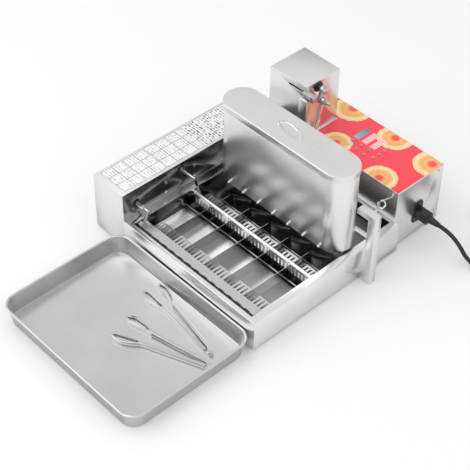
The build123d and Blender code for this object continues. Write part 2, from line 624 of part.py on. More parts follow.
ADJUSTER_LENGTH = 32.0
with BuildPart() as dose_adjuster:
    block_right = PLATE_X + SLOT_TO + 12.0
    block_left = block_right - ADJUSTER_LENGTH
    block(block_left, block_right, PLATE_Y - 13.4, PLATE_Y - 0.4, SLOT_Z - 3, SLOT_Z + 13)
    fillet(dose_adjuster.edges().filter_by(Axis.X), 2.0)
    bar_y(PLATE_X + SLOT_TO - 5, PLATE_Y - 2, PLATE_Y + 1.2, SLOT_Z, SLOT_HALF - 0.4)
    bar_z(block_left + 5, PLATE_Y - 6.4, SLOT_Z + 9, SLOT_Z + 23, 2.0)
    bar_y(block_left + 21, PLATE_Y - 17, PLATE_Y - 12, SLOT_Z + 5, 4.5)
keep("dose_adjuster", dose_adjuster)

SHAFT_START = TOWER_RIGHT - 20.0
with BuildPart() as dosing_gearmotor:
    block(SHAFT_START - 45, SHAFT_START - DRIVE_GAP, FRONT + DRIVE_Y - 24, FRONT + DRIVE_Y + 34,
          DRIVE_Z - 45, TOWER_TOP - SHEET - 1)
    bar_z(SHAFT_START - 26, FRONT + DRIVE_Y + 6, BOX_TOP + SHEET, DRIVE_Z - 45, 28.0)
keep("dosing_gearmotor", dosing_gearmotor)

DRIVE = (FRONT + DRIVE_Y, DRIVE_Z)
CRANK_PIN = (DRIVE[0] + THROW_Y, DRIVE[1] + THROW_Z)
BELL = (FRONT + BELL_Y, BELL_Z)
BELL_PIN = (BELL[0] + THROW_Y, BELL[1] + THROW_Z)
BOLT_END = LINK_X + LINK_THICKNESS + 17.0
with BuildPart() as dosing_crank:
    bar_x(SHAFT_START, ARM_X + CRANK_ARM, *DRIVE, DRIVE_RADIUS)
    strap(ARM_X, ARM_X + CRANK_ARM, DRIVE, CRANK_PIN, 20.0)
    with BuildSketch(Plane.YZ.offset(ARM_X + CRANK_ARM)):
        with Locations(DRIVE):
            RegularPolygon(8.0, 6)
    extrude(amount=5.0)
    bar_x(ARM_X + CRANK_ARM, BOLT_END, *CRANK_PIN, LINK_PIN)
    bar_x(LINK_X + LINK_THICKNESS + 0.5, LINK_X + LINK_THICKNESS + 2, *CRANK_PIN, 8.5)
    with BuildSketch(Plane.YZ.offset(LINK_X + LINK_THICKNESS + 2)):
        with Locations(CRANK_PIN):
            RegularPolygon(7.0, 6)
    extrude(amount=6.5)
keep("dosing_crank", dosing_crank)

with BuildPart() as link_bar:
    strap(LINK_X, LINK_X + LINK_THICKNESS, CRANK_PIN, BELL_PIN, LINK_WIDTH)
    with BuildSketch(Plane.YZ.offset(LINK_X)):
        with Locations(CRANK_PIN, BELL_PIN):
            Circle(8.0)
    extrude(amount=LINK_THICKNESS)
    bar_x(LINK_X, LINK_X + LINK_THICKNESS, *CRANK_PIN, LINK_PIN + ROD_FIT, Mode.SUBTRACT)
    bar_x(LINK_X, LINK_X + LINK_THICKNESS, *BELL_PIN, LINK_PIN + 0.3, Mode.SUBTRACT)
keep("link_bar", link_bar)

ROLLER = (BELL[0] - OUTPUT_ARM, BELL[1])
FORK_X0 = ARM_X - 6.0
with BuildPart() as bell_crank:
    strap(ARM_X, ARM_X + CRANK_ARM, BELL, BELL_PIN, 15.0)
    strap(ARM_X, ARM_X + CRANK_ARM, BELL, ROLLER, 12.0)
    bar_x(ARM_X, ARM_X + CRANK_ARM, *BELL, 9.0)
    bar_x(ARM_X, LINK_X + LINK_THICKNESS + 2, *BELL_PIN, LINK_PIN)
    bar_x(FORK_X0 - 4, ARM_X, *ROLLER, ROLLER_RADIUS)
    bar_x(ARM_X, ARM_X + CRANK_ARM, *BELL, LINK_PIN + ROD_FIT, Mode.SUBTRACT)
keep("bell_crank", bell_crank)

with BuildPart() as bell_bracket:
    ear = (ARM_X - DRIVE_GAP - 5.0, ARM_X - DRIVE_GAP)
    strap(*ear, BELL, (BACK + 8.0, BELL[1]), 16.0)
    block(*ear, BACK + 2, BACK + 16, OVERLAY_TOP, BELL[1])
    block(*ear, BACK - 14, BACK + 20, BOX_TOP - 20, OVERLAY_TOP, Mode.SUBTRACT)
    bar_x(ear[0], ARM_X + CRANK_ARM, *BELL, LINK_PIN)
    block(ear[0] - 5, ear[0], BACK + 2, BACK + 16, OVERLAY_TOP, OVERLAY_TOP + 2.5)
keep("bell_bracket", bell_bracket)

# ---- hopper ----
HOPPER_WALL_BACK = HOPPER_Y + HOPPER_WIDTH / 2
ARM_SLOT_HALF = 7.5
ARM_X_CENTRE = FORK_X0 - 8.0


def stadium(level, height, length, width, mode=Mode.ADD):
    """Add a round-ended prism around the hopper's centre line."""
    with BuildSketch(Plane.XY.offset(level)) as outline:
        with Locations((LANES_MIDDLE, HOPPER_Y)):
            SlotOverall(length, width)
    extrude(outline.sketch, amount=height, mode=mode)


# The nozzles share the hopper's length evenly, one over each lane.
NOZZLE_PITCH = HOPPER_LENGTH / LANE_COUNT
NOZZLE_CENTRES = [LANES_MIDDLE + NOZZLE_PITCH * (k - (LANE_COUNT - 1) / 2) for k in range(LANE_COUNT)]

with BuildPart() as hopper_shell:
    stadium(HOPPER_BOTTOM, HOPPER_TOP - HOPPER_BOTTOM, HOPPER_LENGTH, HOPPER_WIDTH)
    stadium(HOPPER_BOTTOM + SHEET, HOPPER_TOP - HOPPER_BOTTOM, HOPPER_LENGTH - 2 * SHEET,
            HOPPER_WIDTH - 2 * SHEET, Mode.SUBTRACT)
    for centre in NOZZLE_CENTRES:
        bar_z(centre, HOPPER_Y, HOPPER_BOTTOM, HOPPER_BOTTOM + SHEET, NOZZLE_RADIUS, Mode.SUBTRACT)
    block(ARM_X_CENTRE - ARM_SLOT_HALF, ARM_X_CENTRE + ARM_SLOT_HALF, HOPPER_WALL_BACK - 4, HOPPER_WALL_BACK + 1,
          PLUNGER_BAR_Z - PLUNGER_STROKE - 4, PLUNGER_BAR_Z + 14, Mode.SUBTRACT)
keep("hopper_shell", hopper_shell)

with BuildPart() as hopper_nozzles:
    for centre in NOZZLE_CENTRES:
        bar_z(centre, HOPPER_Y, NOZZLE_BOTTOM, NOZZLE_TOP, NOZZLE_RADIUS)
        bar_z(centre, HOPPER_Y, HOPPER_BOTTOM + SHEET, HOPPER_BOTTOM + SHEET + 3, NOZZLE_FLANGE)
    for centre in NOZZLE_CENTRES:
        bar_z(centre, HOPPER_Y, NOZZLE_BOTTOM, NOZZLE_TOP, NOZZLE_BORE, Mode.SUBTRACT)
keep("hopper_nozzles", hopper_nozzles)

with BuildPart() as case_screws:
    front_y = HOPPER_Y - HOPPER_WIDTH / 2
    for k in range(CAP_NUT_COUNT):
        nut_x = LANES_MIDDLE + (k - (CAP_NUT_COUNT - 1) / 2) * CAP_NUT_PITCH
        bar_y(nut_x, front_y - CAP_NUT_LENGTH, front_y, HOPPER_BOTTOM + CAP_NUT_RISE, CAP_NUT_RADIUS)
        with Locations((nut_x, front_y - CAP_NUT_LENGTH, HOPPER_BOTTOM + CAP_NUT_RISE)):
            Sphere(CAP_NUT_DOME)
    block(LANES_MIDDLE - HOPPER_LENGTH / 2, LANES_MIDDLE + HOPPER_LENGTH / 2, front_y, front_y + 6,
          HOPPER_BOTTOM, HOPPER_BOTTOM + 10, Mode.SUBTRACT)

PLUNGER_RADIUS = NOZZLE_BORE - PLUNGER_GAP
with BuildPart() as plungers:
    for centre in NOZZLE_CENTRES:
        bar_z(centre, HOPPER_Y, NOZZLE_BOTTOM + 1, PLUNGER_BAR_Z, PLUNGER_ROD)
        bar_z(centre, HOPPER_Y, NOZZLE_BOTTOM + 1, NOZZLE_BOTTOM + 1 + PLUNGER_DISC, PLUNGER_RADIUS)
        upper = NOZZLE_BOTTOM + 1 + PLUNGER_STROKE + PLUNGER_DISC
        bar_z(centre, HOPPER_Y, upper, upper + PLUNGER_DISC, PLUNGER_RADIUS)
keep("plungers", plungers)

FORK_BACK = FRONT + BELL_Y - OUTPUT_ARM + 10.0
RAIL_FRONT = HOPPER_WALL_BACK + RAIL_GAP
LIFT_TOP = PLUNGER_BAR_Z + LIFT_BAR_HEIGHT
LIFT_X0 = ARM_X_CENTRE - LIFT_ARM_HALF
LIFT_X1 = ARM_X_CENTRE + LIFT_ARM_HALF
with BuildPart() as plunger_lift_bar:
    block(NOZZLE_CENTRES[0] - RAIL_OVERRUN, NOZZLE_CENTRES[-1] + RAIL_OVERRUN,
          HOPPER_Y - LIFT_BAR_HALF, HOPPER_Y + LIFT_BAR_HALF, PLUNGER_BAR_Z, LIFT_TOP)
    block(LIFT_X0, LIFT_X1, HOPPER_Y, RAIL_FRONT + LIFT_STRAP, PLUNGER_BAR_Z, LIFT_TOP)
    block(LIFT_X0, LIFT_X1, RAIL_FRONT, RAIL_FRONT + LIFT_STRAP, BELL_Z - 20, LIFT_TOP)
    reach = ROLLER_RADIUS + FORK_GAP
    block(LIFT_X0, ARM_X - DRIVE_GAP, RAIL_FRONT, FORK_BACK, BELL_Z + reach, BELL_Z + reach + LIFT_STRAP)
    block(LIFT_X0, ARM_X - DRIVE_GAP, RAIL_FRONT, FORK_BACK, BELL_Z - reach - LIFT_STRAP, BELL_Z - reach)
keep("plunger_lift_bar", plunger_lift_bar)

with BuildPart() as hopper_rail:
    block(BASIN_LEFT - RAIL_OVERRUN, BASIN_RIGHT + RAIL_OVERRUN, HOPPER_WALL_BACK + 14, HOPPER_WALL_BACK + 28,
          RIM_TOP, RIM_TOP + RAIL_SHEET)
    for side in (-1, 1):
        rail_x = LANES_MIDDLE + side * 120
        block(rail_x - RAIL_TAB / 2, rail_x + RAIL_TAB / 2, HOPPER_Y + 20, HOPPER_WALL_BACK + 28,
              RIM_TOP + RAIL_SHEET, HOPPER_BOTTOM)
keep("hopper_rail", hopper_rail)

BRACKET_RIGHT = RIGHT + BRACKET_REACH
BRACKET_INNER = LANES_MIDDLE + HOPPER_LENGTH / 2
with BuildPart() as hopper_bracket:
    y0 = FRONT + BRACKET_Y
    y1 = y0 + BRACKET_SECTION
    leg = BRACKET_RIGHT - BRACKET_SECTION
    block(leg, BRACKET_RIGHT, y0, y1, 0, BRACKET_TOP)
    block(RIGHT, BRACKET_RIGHT, y0, y1, 0, BRACKET_FOOT_HEIGHT)
    block(BRACKET_INNER - BRACKET_LAP, BRACKET_RIGHT, y0, y1, BRACKET_TOP - BRACKET_ARM_HEIGHT, BRACKET_TOP)
    stadium(0, BRACKET_TOP + 1, HOPPER_LENGTH, HOPPER_WIDTH, Mode.SUBTRACT)
keep("hopper_bracket", hopper_bracket)

# ---- lid ----
with BuildPart() as lid:
    outer = LID_GAP + SHEET
    stadium(HOPPER_TOP - LID_LIP, LID_TOP - HOPPER_TOP + LID_LIP, HOPPER_LENGTH + 2 * outer,
            HOPPER_WIDTH + 2 * outer)
    fillet(lid.edges().group_by(Axis.Z)[-1], 2.0)
    stadium(HOPPER_TOP - LID_LIP, LID_LIP, HOPPER_LENGTH + 2 * LID_GAP, HOPPER_WIDTH + 2 * LID_GAP, Mode.SUBTRACT)
    stadium(HOPPER_TOP, LID_SEAT, HOPPER_LENGTH + 2 * LID_GAP, HOPPER_WIDTH + 2 * LID_GAP, Mode.SUBTRACT)
    stadium(HOPPER_TOP, LID_TOP - HOPPER_TOP - SHEET, HOPPER_LENGTH - 8, HOPPER_WIDTH - 8, Mode.SUBTRACT)
keep("lid", lid)

HANDLE_SPAN = 67.0
HANDLE_RISE = 17.0
HANDLE_WIRE = 2.4
BOSS_HEIGHT = 4.0
with BuildPart() as lid_handle:
    for side in (-1, 1):
        bar_z(LANES_MIDDLE + side * HANDLE_SPAN / 2, HOPPER_Y, LID_TOP, LID_TOP + BOSS_HEIGHT, 4.5)
    foot_z = LID_TOP + BOSS_HEIGHT - 1.0
    with BuildLine() as bow:
        ThreePointArc(
            (LANES_MIDDLE - HANDLE_SPAN / 2, HOPPER_Y, foot_z),
            (LANES_MIDDLE, HOPPER_Y, LID_TOP + HANDLE_RISE),
            (LANES_MIDDLE + HANDLE_SPAN / 2, HOPPER_Y, foot_z),
        )
    with BuildSketch(Plane(origin=bow.line @ 0, z_dir=bow.line % 0)):
        Circle(HANDLE_WIRE)
    sweep(path=bow.wires()[0])
keep("lid_handle", lid_handle)

# ---- capillary tube from the control box to the bracket ----
CAPILLARY_RADIUS = 1.8
CAPILLARY_EXIT = 499.5
CAPILLARY_EXIT_Z = 147.0
LOOP_CORNERS = 6
LOOP_START = 160.0
LOOP_REACH = 9.8
LOOP_BEND = 5.4
LOOP_PITCH = 1.3
LOOP_CENTRE = (LEFT + 508.0, BACK - 45.0, 158.0)
LOOP_ACROSS = (0.68, 0.73, 0.0)
LOOP_UP = (-0.51, 0.46, 0.73)
LOOP_AWAY = (-0.53, 0.50, -0.69)
with BuildPart() as capillary_tube:
    start = (LEFT + CAPILLARY_EXIT, BACK, CAPILLARY_EXIT_Z)
    end = (BRACKET_RIGHT - 24.0, FRONT + BRACKET_Y + BRACKET_SECTION, BRACKET_TOP - 5.0)
    route = [start]
    for k in range(LOOP_CORNERS):
        around = math.radians(LOOP_START + k * 360 / LOOP_CORNERS)
        across = LOOP_REACH * math.cos(around)
        upward = LOOP_REACH * math.sin(around)
        route.append(tuple(
            centre + across * a + upward * b + LOOP_PITCH * k * c
            for centre, a, b, c in zip(LOOP_CENTRE, LOOP_ACROSS, LOOP_UP, LOOP_AWAY)
        ))
    route.append((end[0], end[1] + 12.0, end[2]))
    route.append(end)
    with BuildLine() as capillary_path:
        FilletPolyline(*route, radius=LOOP_BEND)
    with BuildSketch(Plane(origin=route[0], z_dir=(0, -1, 0))):
        Circle(CAPILLARY_RADIUS)
    sweep(path=capillary_path.wires()[0])
keep("capillary_tube", capillary_tube)

# ---- screws ----
SCREW_HEAD = 3.6
SCREW_RISE = 1.6
PANEL_SCREW_PLACES = [(FRONT + y, z) for y in (126.0, 213.5) for z in (97.0, 125.0)]
SIDE_SCREW_PLACES = ((FRONT + 498.0, 37.0), (FRONT + 598.0, 26.5), (FRONT + 592.0, 156.0))
with case_screws:
    for y, z in PANEL_SCREW_PLACES:
        bar_x(PANEL_X, PANEL_X + SCREW_RISE, y, z, SCREW_HEAD)
    for y, z in SIDE_SCREW_PLACES:
        bar_x(BOX_RIGHT, BOX_RIGHT + SCREW_RISE, y, z, SCREW_HEAD)
    for y in (TOWER_Y + 14, TOWER_Y + TOWER_DEPTH - 12):
        bar_z(TOWER_RIGHT - 7, y, TOWER_TOP, TOWER_TOP + SCREW_RISE + 1.5, 2.0)
keep("case_screws", case_screws)

# ---- tray ----
TRAY_X = LEFT + TRAY_LEFT + TRAY_LENGTH / 2
TRAY_Y = FRONT - TRAY_GAP - TRAY_DEPTH / 2
TRAY_FLOOR = 1.5
TRAY_BODY_LENGTH = TRAY_LENGTH - 2 * TRAY_RIM
TRAY_BODY_DEPTH = TRAY_DEPTH - 2 * TRAY_RIM


def tray_shell(inset, level, top, mode):
    """Add or cut a drafted tray body, inset from the outer wall."""
    with BuildSketch(Plane.XY.offset(top)) as mouth:
        with Locations((TRAY_X, TRAY_Y)):
            RectangleRounded(TRAY_BODY_LENGTH - 2 * inset, TRAY_BODY_DEPTH - 2 * inset, TRAY_CORNER - inset)
    with BuildSketch(Plane.XY.offset(level)) as floor:
        with Locations((TRAY_X, TRAY_Y)):
            RectangleRounded(TRAY_BODY_LENGTH - 2 * (inset + TRAY_DRAFT),
                             TRAY_BODY_DEPTH - 2 * (inset + TRAY_DRAFT), TRAY_CORNER - inset)
    loft([floor.sketch, mouth.sketch], mode=mode)


with BuildPart() as tray:
    tray_shell(0, 0, TRAY_HEIGHT, Mode.ADD)
    with BuildSketch(Plane.XY.offset(TRAY_HEIGHT - TRAY_RIM)):
        with Locations((TRAY_X, TRAY_Y)):
            RectangleRounded(TRAY_LENGTH, TRAY_DEPTH, TRAY_CORNER + TRAY_RIM)
            RectangleRounded(TRAY_BODY_LENGTH - 6, TRAY_BODY_DEPTH - 6, TRAY_CORNER - 3, mode=Mode.SUBTRACT)
    extrude(amount=TRAY_RIM)
    tray_shell(TRAY_WALL, TRAY_FLOOR, TRAY_HEIGHT, Mode.SUBTRACT)
keep("tray", tray)

# ---- tongs ----
TONG_LEVEL = TRAY_FLOOR + 0.4
HEEL_RADIUS = 6.5
HEEL_PIN = 2.0
ARM_START = 10.0


def tong_outline(plane, points, height, mode=Mode.ADD):
    """Add or cut a polygon prism on a tong arm's own plane."""
    with BuildSketch(plane) as outline:
        with BuildLine():
            Polyline(*points, close=True)
        make_face()
    extrude(outline.sketch, amount=height, mode=mode)


def tong_arm(heel, heading, opening, side):
    """A channel arm with a spoon-shaped head; side is +1 for the arm that carries the heel pin."""
    along = Vector(1, 0, 0).rotate(Axis.Z, heading + side * opening)
    plane = Plane(origin=(heel[0], heel[1], TONG_LEVEL), x_dir=along, z_dir=(0, 0, 1))
    shaft = TONG_LENGTH - TONG_HEAD
    inner = side * 1.0
    outer = side * (1.0 + TONG_WIDTH / 2)
    wall = side * TONG_SHEET
    tong_outline(plane, ((ARM_START, inner), (shaft, inner), (shaft, outer), (ARM_START, outer)), TONG_HEIGHT)
    tong_outline(plane.offset(TONG_SHEET), (
        (ARM_START + 2, inner - wall), (shaft - 4, inner - wall), (shaft - 4, outer - wall),
        (ARM_START + 2, outer - wall),
    ), TONG_HEIGHT - 2 * TONG_SHEET, Mode.SUBTRACT)
    tip = (TONG_LENGTH, side * 10)
    with BuildSketch(plane) as head:
        with BuildLine():
            Spline((shaft - 1, inner), (shaft + 22, inner + side), (TONG_LENGTH - 6, side * 5), tip)
            Spline(tip, (TONG_LENGTH - 18, side * TONG_HEAD_WIDTH),
                   (shaft + 22, side * (TONG_HEAD_WIDTH - 4)), (shaft - 1, outer))
            Line((shaft - 1, outer), (shaft - 1, inner))
        make_face()
    extrude(head.sketch, amount=TONG_HEIGHT)
    tong_outline(plane.offset(TONG_SHEET), (
        (shaft + 8, side * 3.5), (TONG_LENGTH - 12, side * 6), (TONG_LENGTH - 5, side * 10),
        (TONG_LENGTH - 20, side * (TONG_HEAD_WIDTH - 4)), (shaft + 24, side * (TONG_HEAD_WIDTH - 7)),
        (shaft + 8, side * 8),
    ), TONG_HEIGHT, Mode.SUBTRACT)
    half = TONG_HEIGHT / 2
    low = 0 if side > 0 else half + 0.3
    tong_outline(plane.offset(low), (
        (0, -side * 3), (ARM_START + 3, inner), (ARM_START + 3, outer), (0, side * 6),
    ), half - 0.3)
    with Locations((heel[0], heel[1], TONG_LEVEL + low + (half - 0.3) / 2)):
        Cylinder(HEEL_RADIUS, half - 0.3)
    if side > 0:
        bar_z(*heel, TONG_LEVEL, TONG_LEVEL + TONG_HEIGHT + 1, HEEL_PIN)
    else:
        bar_z(*heel, TONG_LEVEL, TONG_LEVEL + TONG_HEIGHT + 1, HEEL_PIN + ROD_FIT, Mode.SUBTRACT)


TONG_PLACES = (
    ("near_tong", (LEFT + 505.0, FRONT - 101.0), 197.5, 5.0),
    ("far_tong", (LEFT + 475.0, FRONT - 76.0), 172.0, 2.5),
)
for name, heel, heading, opening in TONG_PLACES:
    for letter, side in (("a", 1), ("b", -1)):
        with BuildPart() as arm:
            tong_arm(heel, heading, opening, side)
        keep(f"{name}_{letter}", arm)

# ---- mains lead ----
CONNECTOR_X = BOX_RIGHT + 3.0
RELIEF_X = CONNECTOR_X + CONNECTOR_LENGTH
with BuildPart() as cord_connector:
    block(CONNECTOR_X, RELIEF_X, INLET_PLACE_Y - 12, INLET_PLACE_Y + 12, INLET_Z - 13, INLET_Z + 13)
    fillet(cord_connector.edges().filter_by(Axis.X), 4.0)
    with BuildSketch(Plane.YZ.offset(RELIEF_X)):
        with Locations((INLET_PLACE_Y, INLET_Z)):
            Circle(9.5)
    with BuildSketch(Plane.YZ.offset(RELIEF_X + RELIEF_LENGTH)):
        with Locations((INLET_PLACE_Y, INLET_Z)):
            Circle(CORD_DIAMETER / 2 + 1.0)
    loft()
keep("cord_connector", cord_connector)

# The cord's own points, from the strain relief down to the table and on to the coil.
CORD_POINTS = [
    (301.0, 396.0, 67.0),
    (322.0, 396.0, 67.0),
    (345.8, 396.8, 59.3),
    (366.7, 398.3, 44.0),
    (382.6, 400.5, 23.5),
    (403.3, 406.5, 9.5),
    (426.5, 417.5, 5.0),
    (449.5, 432.0, 5.0),
    (468.0, 450.0, 5.0),
]
COIL_CENTRE = (424.1, 495.2)
COIL_TURNS = 3.377
PLUG_X = 372.0


def corner_radii(points):
    """The largest tangent arc at each corner that both of its runs allow."""
    radii = []
    for before, corner, after in zip(points, points[1:], points[2:]):
        arriving = Vector(*corner) - Vector(*before)
        leaving = Vector(*after) - Vector(*corner)
        turn = math.radians(arriving.get_angle(leaving))
        radii.append(0.45 * min(arriving.length, leaving.length) / math.tan(turn / 2))
    return radii


radii = corner_radii(CORD_POINTS)
with BuildPart() as mains_cord:
    with BuildLine() as cord_path:
        FilletPolyline(*CORD_POINTS, radius=radii)
    with BuildSketch(Plane(origin=CORD_POINTS[0], z_dir=Vector(*CORD_POINTS[1]) - Vector(*CORD_POINTS[0]))):
        Circle(CORD_DIAMETER / 2)
    sweep(path=cord_path.wires()[0])

COIL_LAYERS = 2
coil_outer = COIL_MEAN_DIAMETER / 2 + CORD_DIAMETER
coil_inner = COIL_MEAN_DIAMETER / 2 - CORD_DIAMETER
with BuildPart() as cord_coil:
    bar_z(*COIL_CENTRE, 0, COIL_LAYERS * CORD_DIAMETER, coil_outer)
    bar_z(*COIL_CENTRE, 0, COIL_LAYERS * CORD_DIAMETER, coil_inner, Mode.SUBTRACT)
keep("cord_coil", cord_coil)

TAIL_Y = COIL_CENTRE[1] + COIL_MEAN_DIAMETER / 2 + CORD_DIAMETER / 2
PLUG_RADIUS = 19.0
PLUG_RELIEF = 26.0
PLUG_LENGTH = 34.0
PLUG_PIN_LENGTH = 19.0
tail_start = (COIL_CENTRE[0], TAIL_Y, 1.5 * CORD_DIAMETER)
tail_end = (PLUG_X, TAIL_Y, PLUG_RADIUS)
with BuildPart() as cord_tail:
    with BuildLine() as tail_path:
        Line(tail_start, tail_end)
    with BuildSketch(Plane(origin=tail_start, z_dir=Vector(*tail_end) - Vector(*tail_start))):
        Circle(CORD_DIAMETER / 2)
    sweep(path=tail_path.wires()[0])
tube_volume = mains_cord.part.volume
with mains_cord:
    add(cord_tail.part)
keep("mains_cord", mains_cord)

with BuildPart() as mains_plug:
    face = PLUG_X - PLUG_RELIEF - PLUG_LENGTH
    with BuildSketch(Plane.YZ.offset(PLUG_X - PLUG_RELIEF)):
        with Locations((TAIL_Y, PLUG_RADIUS)):
            Circle(11)
    with BuildSketch(Plane.YZ.offset(PLUG_X)):
        with Locations((TAIL_Y, PLUG_RADIUS)):
            Circle(CORD_DIAMETER / 2 + 1.0)
    loft()
    bar_x(face + 14, PLUG_X - PLUG_RELIEF, TAIL_Y, PLUG_RADIUS, 14.0)
    bar_x(face, face + 14, TAIL_Y, PLUG_RADIUS, PLUG_RADIUS)
    for side in (-1, 1):
        bar_x(face - PLUG_PIN_LENGTH, face, TAIL_Y + side * 9.5, PLUG_RADIUS, 2.4)
keep("mains_plug", mains_plug)

print("cord radii", [round(radius) for radius in radii])
tube_length = cord_path.wires()[0].length
print("tube length", round(tube_length), "volume error",
      round(tube_volume / (math.pi * CORD_DIAMETER ** 2 / 4 * tube_length) - 1, 5))
coiled = COIL_TURNS * math.pi * COIL_MEAN_DIAMETER
print("cord length", round(tube_length + coiled + (Vector(*tail_end) - Vector(*tail_start)).length))

os.makedirs("parts", exist_ok=True)
for name, piece in pieces.items():
    export_step(piece.part, f"parts/{name}.step")
print("nodes", len(pieces))
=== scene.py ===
import json
import math

import bpy
from mathutils import Matrix, Vector

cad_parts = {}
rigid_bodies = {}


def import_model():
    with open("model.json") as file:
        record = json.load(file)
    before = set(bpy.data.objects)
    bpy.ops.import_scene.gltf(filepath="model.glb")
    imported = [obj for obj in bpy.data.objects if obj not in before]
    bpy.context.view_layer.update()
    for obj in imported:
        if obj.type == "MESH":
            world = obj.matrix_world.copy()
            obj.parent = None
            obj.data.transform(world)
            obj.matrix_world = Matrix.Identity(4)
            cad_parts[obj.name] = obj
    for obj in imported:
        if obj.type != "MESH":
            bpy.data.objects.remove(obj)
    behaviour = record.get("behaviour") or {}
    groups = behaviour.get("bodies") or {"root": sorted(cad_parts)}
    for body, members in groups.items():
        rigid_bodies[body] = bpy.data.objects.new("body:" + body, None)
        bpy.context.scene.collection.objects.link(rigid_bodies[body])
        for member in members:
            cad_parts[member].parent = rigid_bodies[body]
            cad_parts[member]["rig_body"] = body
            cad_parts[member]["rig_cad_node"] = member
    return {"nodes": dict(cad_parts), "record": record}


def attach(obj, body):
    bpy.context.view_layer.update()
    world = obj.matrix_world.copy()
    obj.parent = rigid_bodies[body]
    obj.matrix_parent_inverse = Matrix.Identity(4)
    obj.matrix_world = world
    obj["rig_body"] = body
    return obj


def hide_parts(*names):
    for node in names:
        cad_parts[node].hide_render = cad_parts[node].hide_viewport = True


# ---- Frame and camera ----
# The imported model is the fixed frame, and every piece below is built onto it.
# The camera looks down over the machine's front right corner with a long lens.

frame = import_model()
nodes = frame["nodes"]
bodies_of = {
    member: body
    for body, group in frame["record"]["behaviour"]["bodies"].items()
    for member in group
}
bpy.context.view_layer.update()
mm = 0.001

view_from = Vector((1.5740, -1.4525, 2.1132))
view_forward = Vector((-0.5256, 0.4996, -0.6886)).normalized()
view_up = Vector((-0.509, 0.464, 0.725))
view_right = view_forward.cross(view_up).normalized()
view_up = view_right.cross(view_forward).normalized()

camera_data = bpy.data.cameras.new("studio_camera")
camera_data.lens = 101.1
camera_data.sensor_width = 36.0
camera_data.clip_end = 50.0
camera = bpy.data.objects.new("studio_camera", camera_data)
bpy.context.scene.collection.objects.link(camera)
turn = Matrix((view_right, view_up, -view_forward)).transposed()
camera.matrix_world = Matrix.Translation(view_from) @ turn.to_4x4()
bpy.context.scene.camera = camera

# ---- Mains lead ----
# A ten millimetre rubber lead that droops from its strain relief to the table and is wound into
# a neat ring. Its jacket is matte black rubber with a faint moulded mottle.


def new_finish(name, color, metallic=0.0, roughness=0.5):
    """A node material with its Principled shader set, returned with its nodes and links."""
    material = bpy.data.materials.new(name)
    material.use_nodes = True
    tree = material.node_tree
    shader = tree.nodes["Principled BSDF"]
    shader.inputs["Base Color"].default_value = (*color, 1.0)
    shader.inputs["Metallic"].default_value = metallic
    shader.inputs["Roughness"].default_value = roughness
    return material, tree, shader


def add_node(tree, kind, **values):
    """A shader node of a kind, with some of its properties set."""
    node = tree.nodes.new(kind)
    for key, value in values.items():
        setattr(node, key, value)
    return node


def object_place(tree, scale=(1.0, 1.0, 1.0), shift=(0.0, 0.0, 0.0)):
    """The object's own coordinates through a Mapping node, as a vector output."""
    place = add_node(tree, "ShaderNodeTexCoord")
    mapping = add_node(tree, "ShaderNodeMapping")
    mapping.inputs["Scale"].default_value = scale
    mapping.inputs["Location"].default_value = shift
    tree.links.new(place.outputs["Object"], mapping.inputs["Vector"])
    return mapping.outputs["Vector"]


def make_group(name, inputs, outputs):
    """An empty shader node group with named sockets; inputs are (name, type, default)."""
    group = bpy.data.node_groups.new(name, "ShaderNodeTree")
    for socket_name, kind, default in inputs:
        socket = group.interface.new_socket(name=socket_name, in_out="INPUT", socket_type=kind)
        if default is not None:
            socket.default_value = default
    for socket_name, kind in outputs:
        group.interface.new_socket(name=socket_name, in_out="OUTPUT", socket_type=kind)
    start = group.nodes.new("NodeGroupInput")
    end = group.nodes.new("NodeGroupOutput")
    return group, start, end


def place_group(tree, group, **values):
    """One use of a node group in a material, with its plain inputs set by name."""
    node = add_node(tree, "ShaderNodeGroup", node_tree=group)
    for key, value in values.items():
        node.inputs[key].default_value = value
    return node


def make_mottle_group():
    """Fine moulded mottle: a height for the bump and a roughness that wanders with it."""
    group, start, end = make_group(
        "moulded_mottle",
        [("Vector", "NodeSocketVector", None), ("Grain", "NodeSocketFloat", 900.0),
         ("Low", "NodeSocketFloat", 0.4), ("High", "NodeSocketFloat", 0.6)],
        [("Roughness", "NodeSocketFloat"), ("Height", "NodeSocketFloat")])
    fine = add_node(group, "ShaderNodeTexNoise")
    fine.inputs["Detail"].default_value = 4.0
    broad = add_node(group, "ShaderNodeTexNoise")
    broad.inputs["Scale"].default_value = 18.0
    spread = add_node(group, "ShaderNodeMapRange")
    group.links.new(start.outputs["Vector"], fine.inputs["Vector"])
    group.links.new(start.outputs["Grain"], fine.inputs["Scale"])
    group.links.new(start.outputs["Vector"], broad.inputs["Vector"])
    group.links.new(broad.outputs["Fac"], spread.inputs["Value"])
    spread.inputs["From Min"].default_value = 0.3
    spread.inputs["From Max"].default_value = 0.7
    group.links.new(start.outputs["Low"], spread.inputs["To Min"])
    group.links.new(start.outputs["High"], spread.inputs["To Max"])
    group.links.new(spread.outputs["Result"], end.inputs["Roughness"])
    group.links.new(fine.outputs["Fac"], end.inputs["Height"])
    return group


moulded_mottle = make_mottle_group()


def moulded_finish(name, color, low, high, grain=900.0, relief=0.00004):
    """Moulded plastic or rubber: one colour, wandering gloss and a fine mottle."""
    material, tree, shader = new_finish(name, color)
    mottle = place_group(tree, moulded_mottle, Grain=grain, Low=low, High=high)
    tree.links.new(object_place(tree), mottle.inputs["Vector"])
    bump = add_node(tree, "ShaderNodeBump")
    bump.inputs["Distance"].default_value = relief
    tree.links.new(mottle.outputs["Height"], bump.inputs["Height"])
    tree.links.new(mottle.outputs["Roughness"], shader.inputs["Roughness"])
    tree.links.new(bump.outputs["Normal"], shader.inputs["Normal"])
    return material


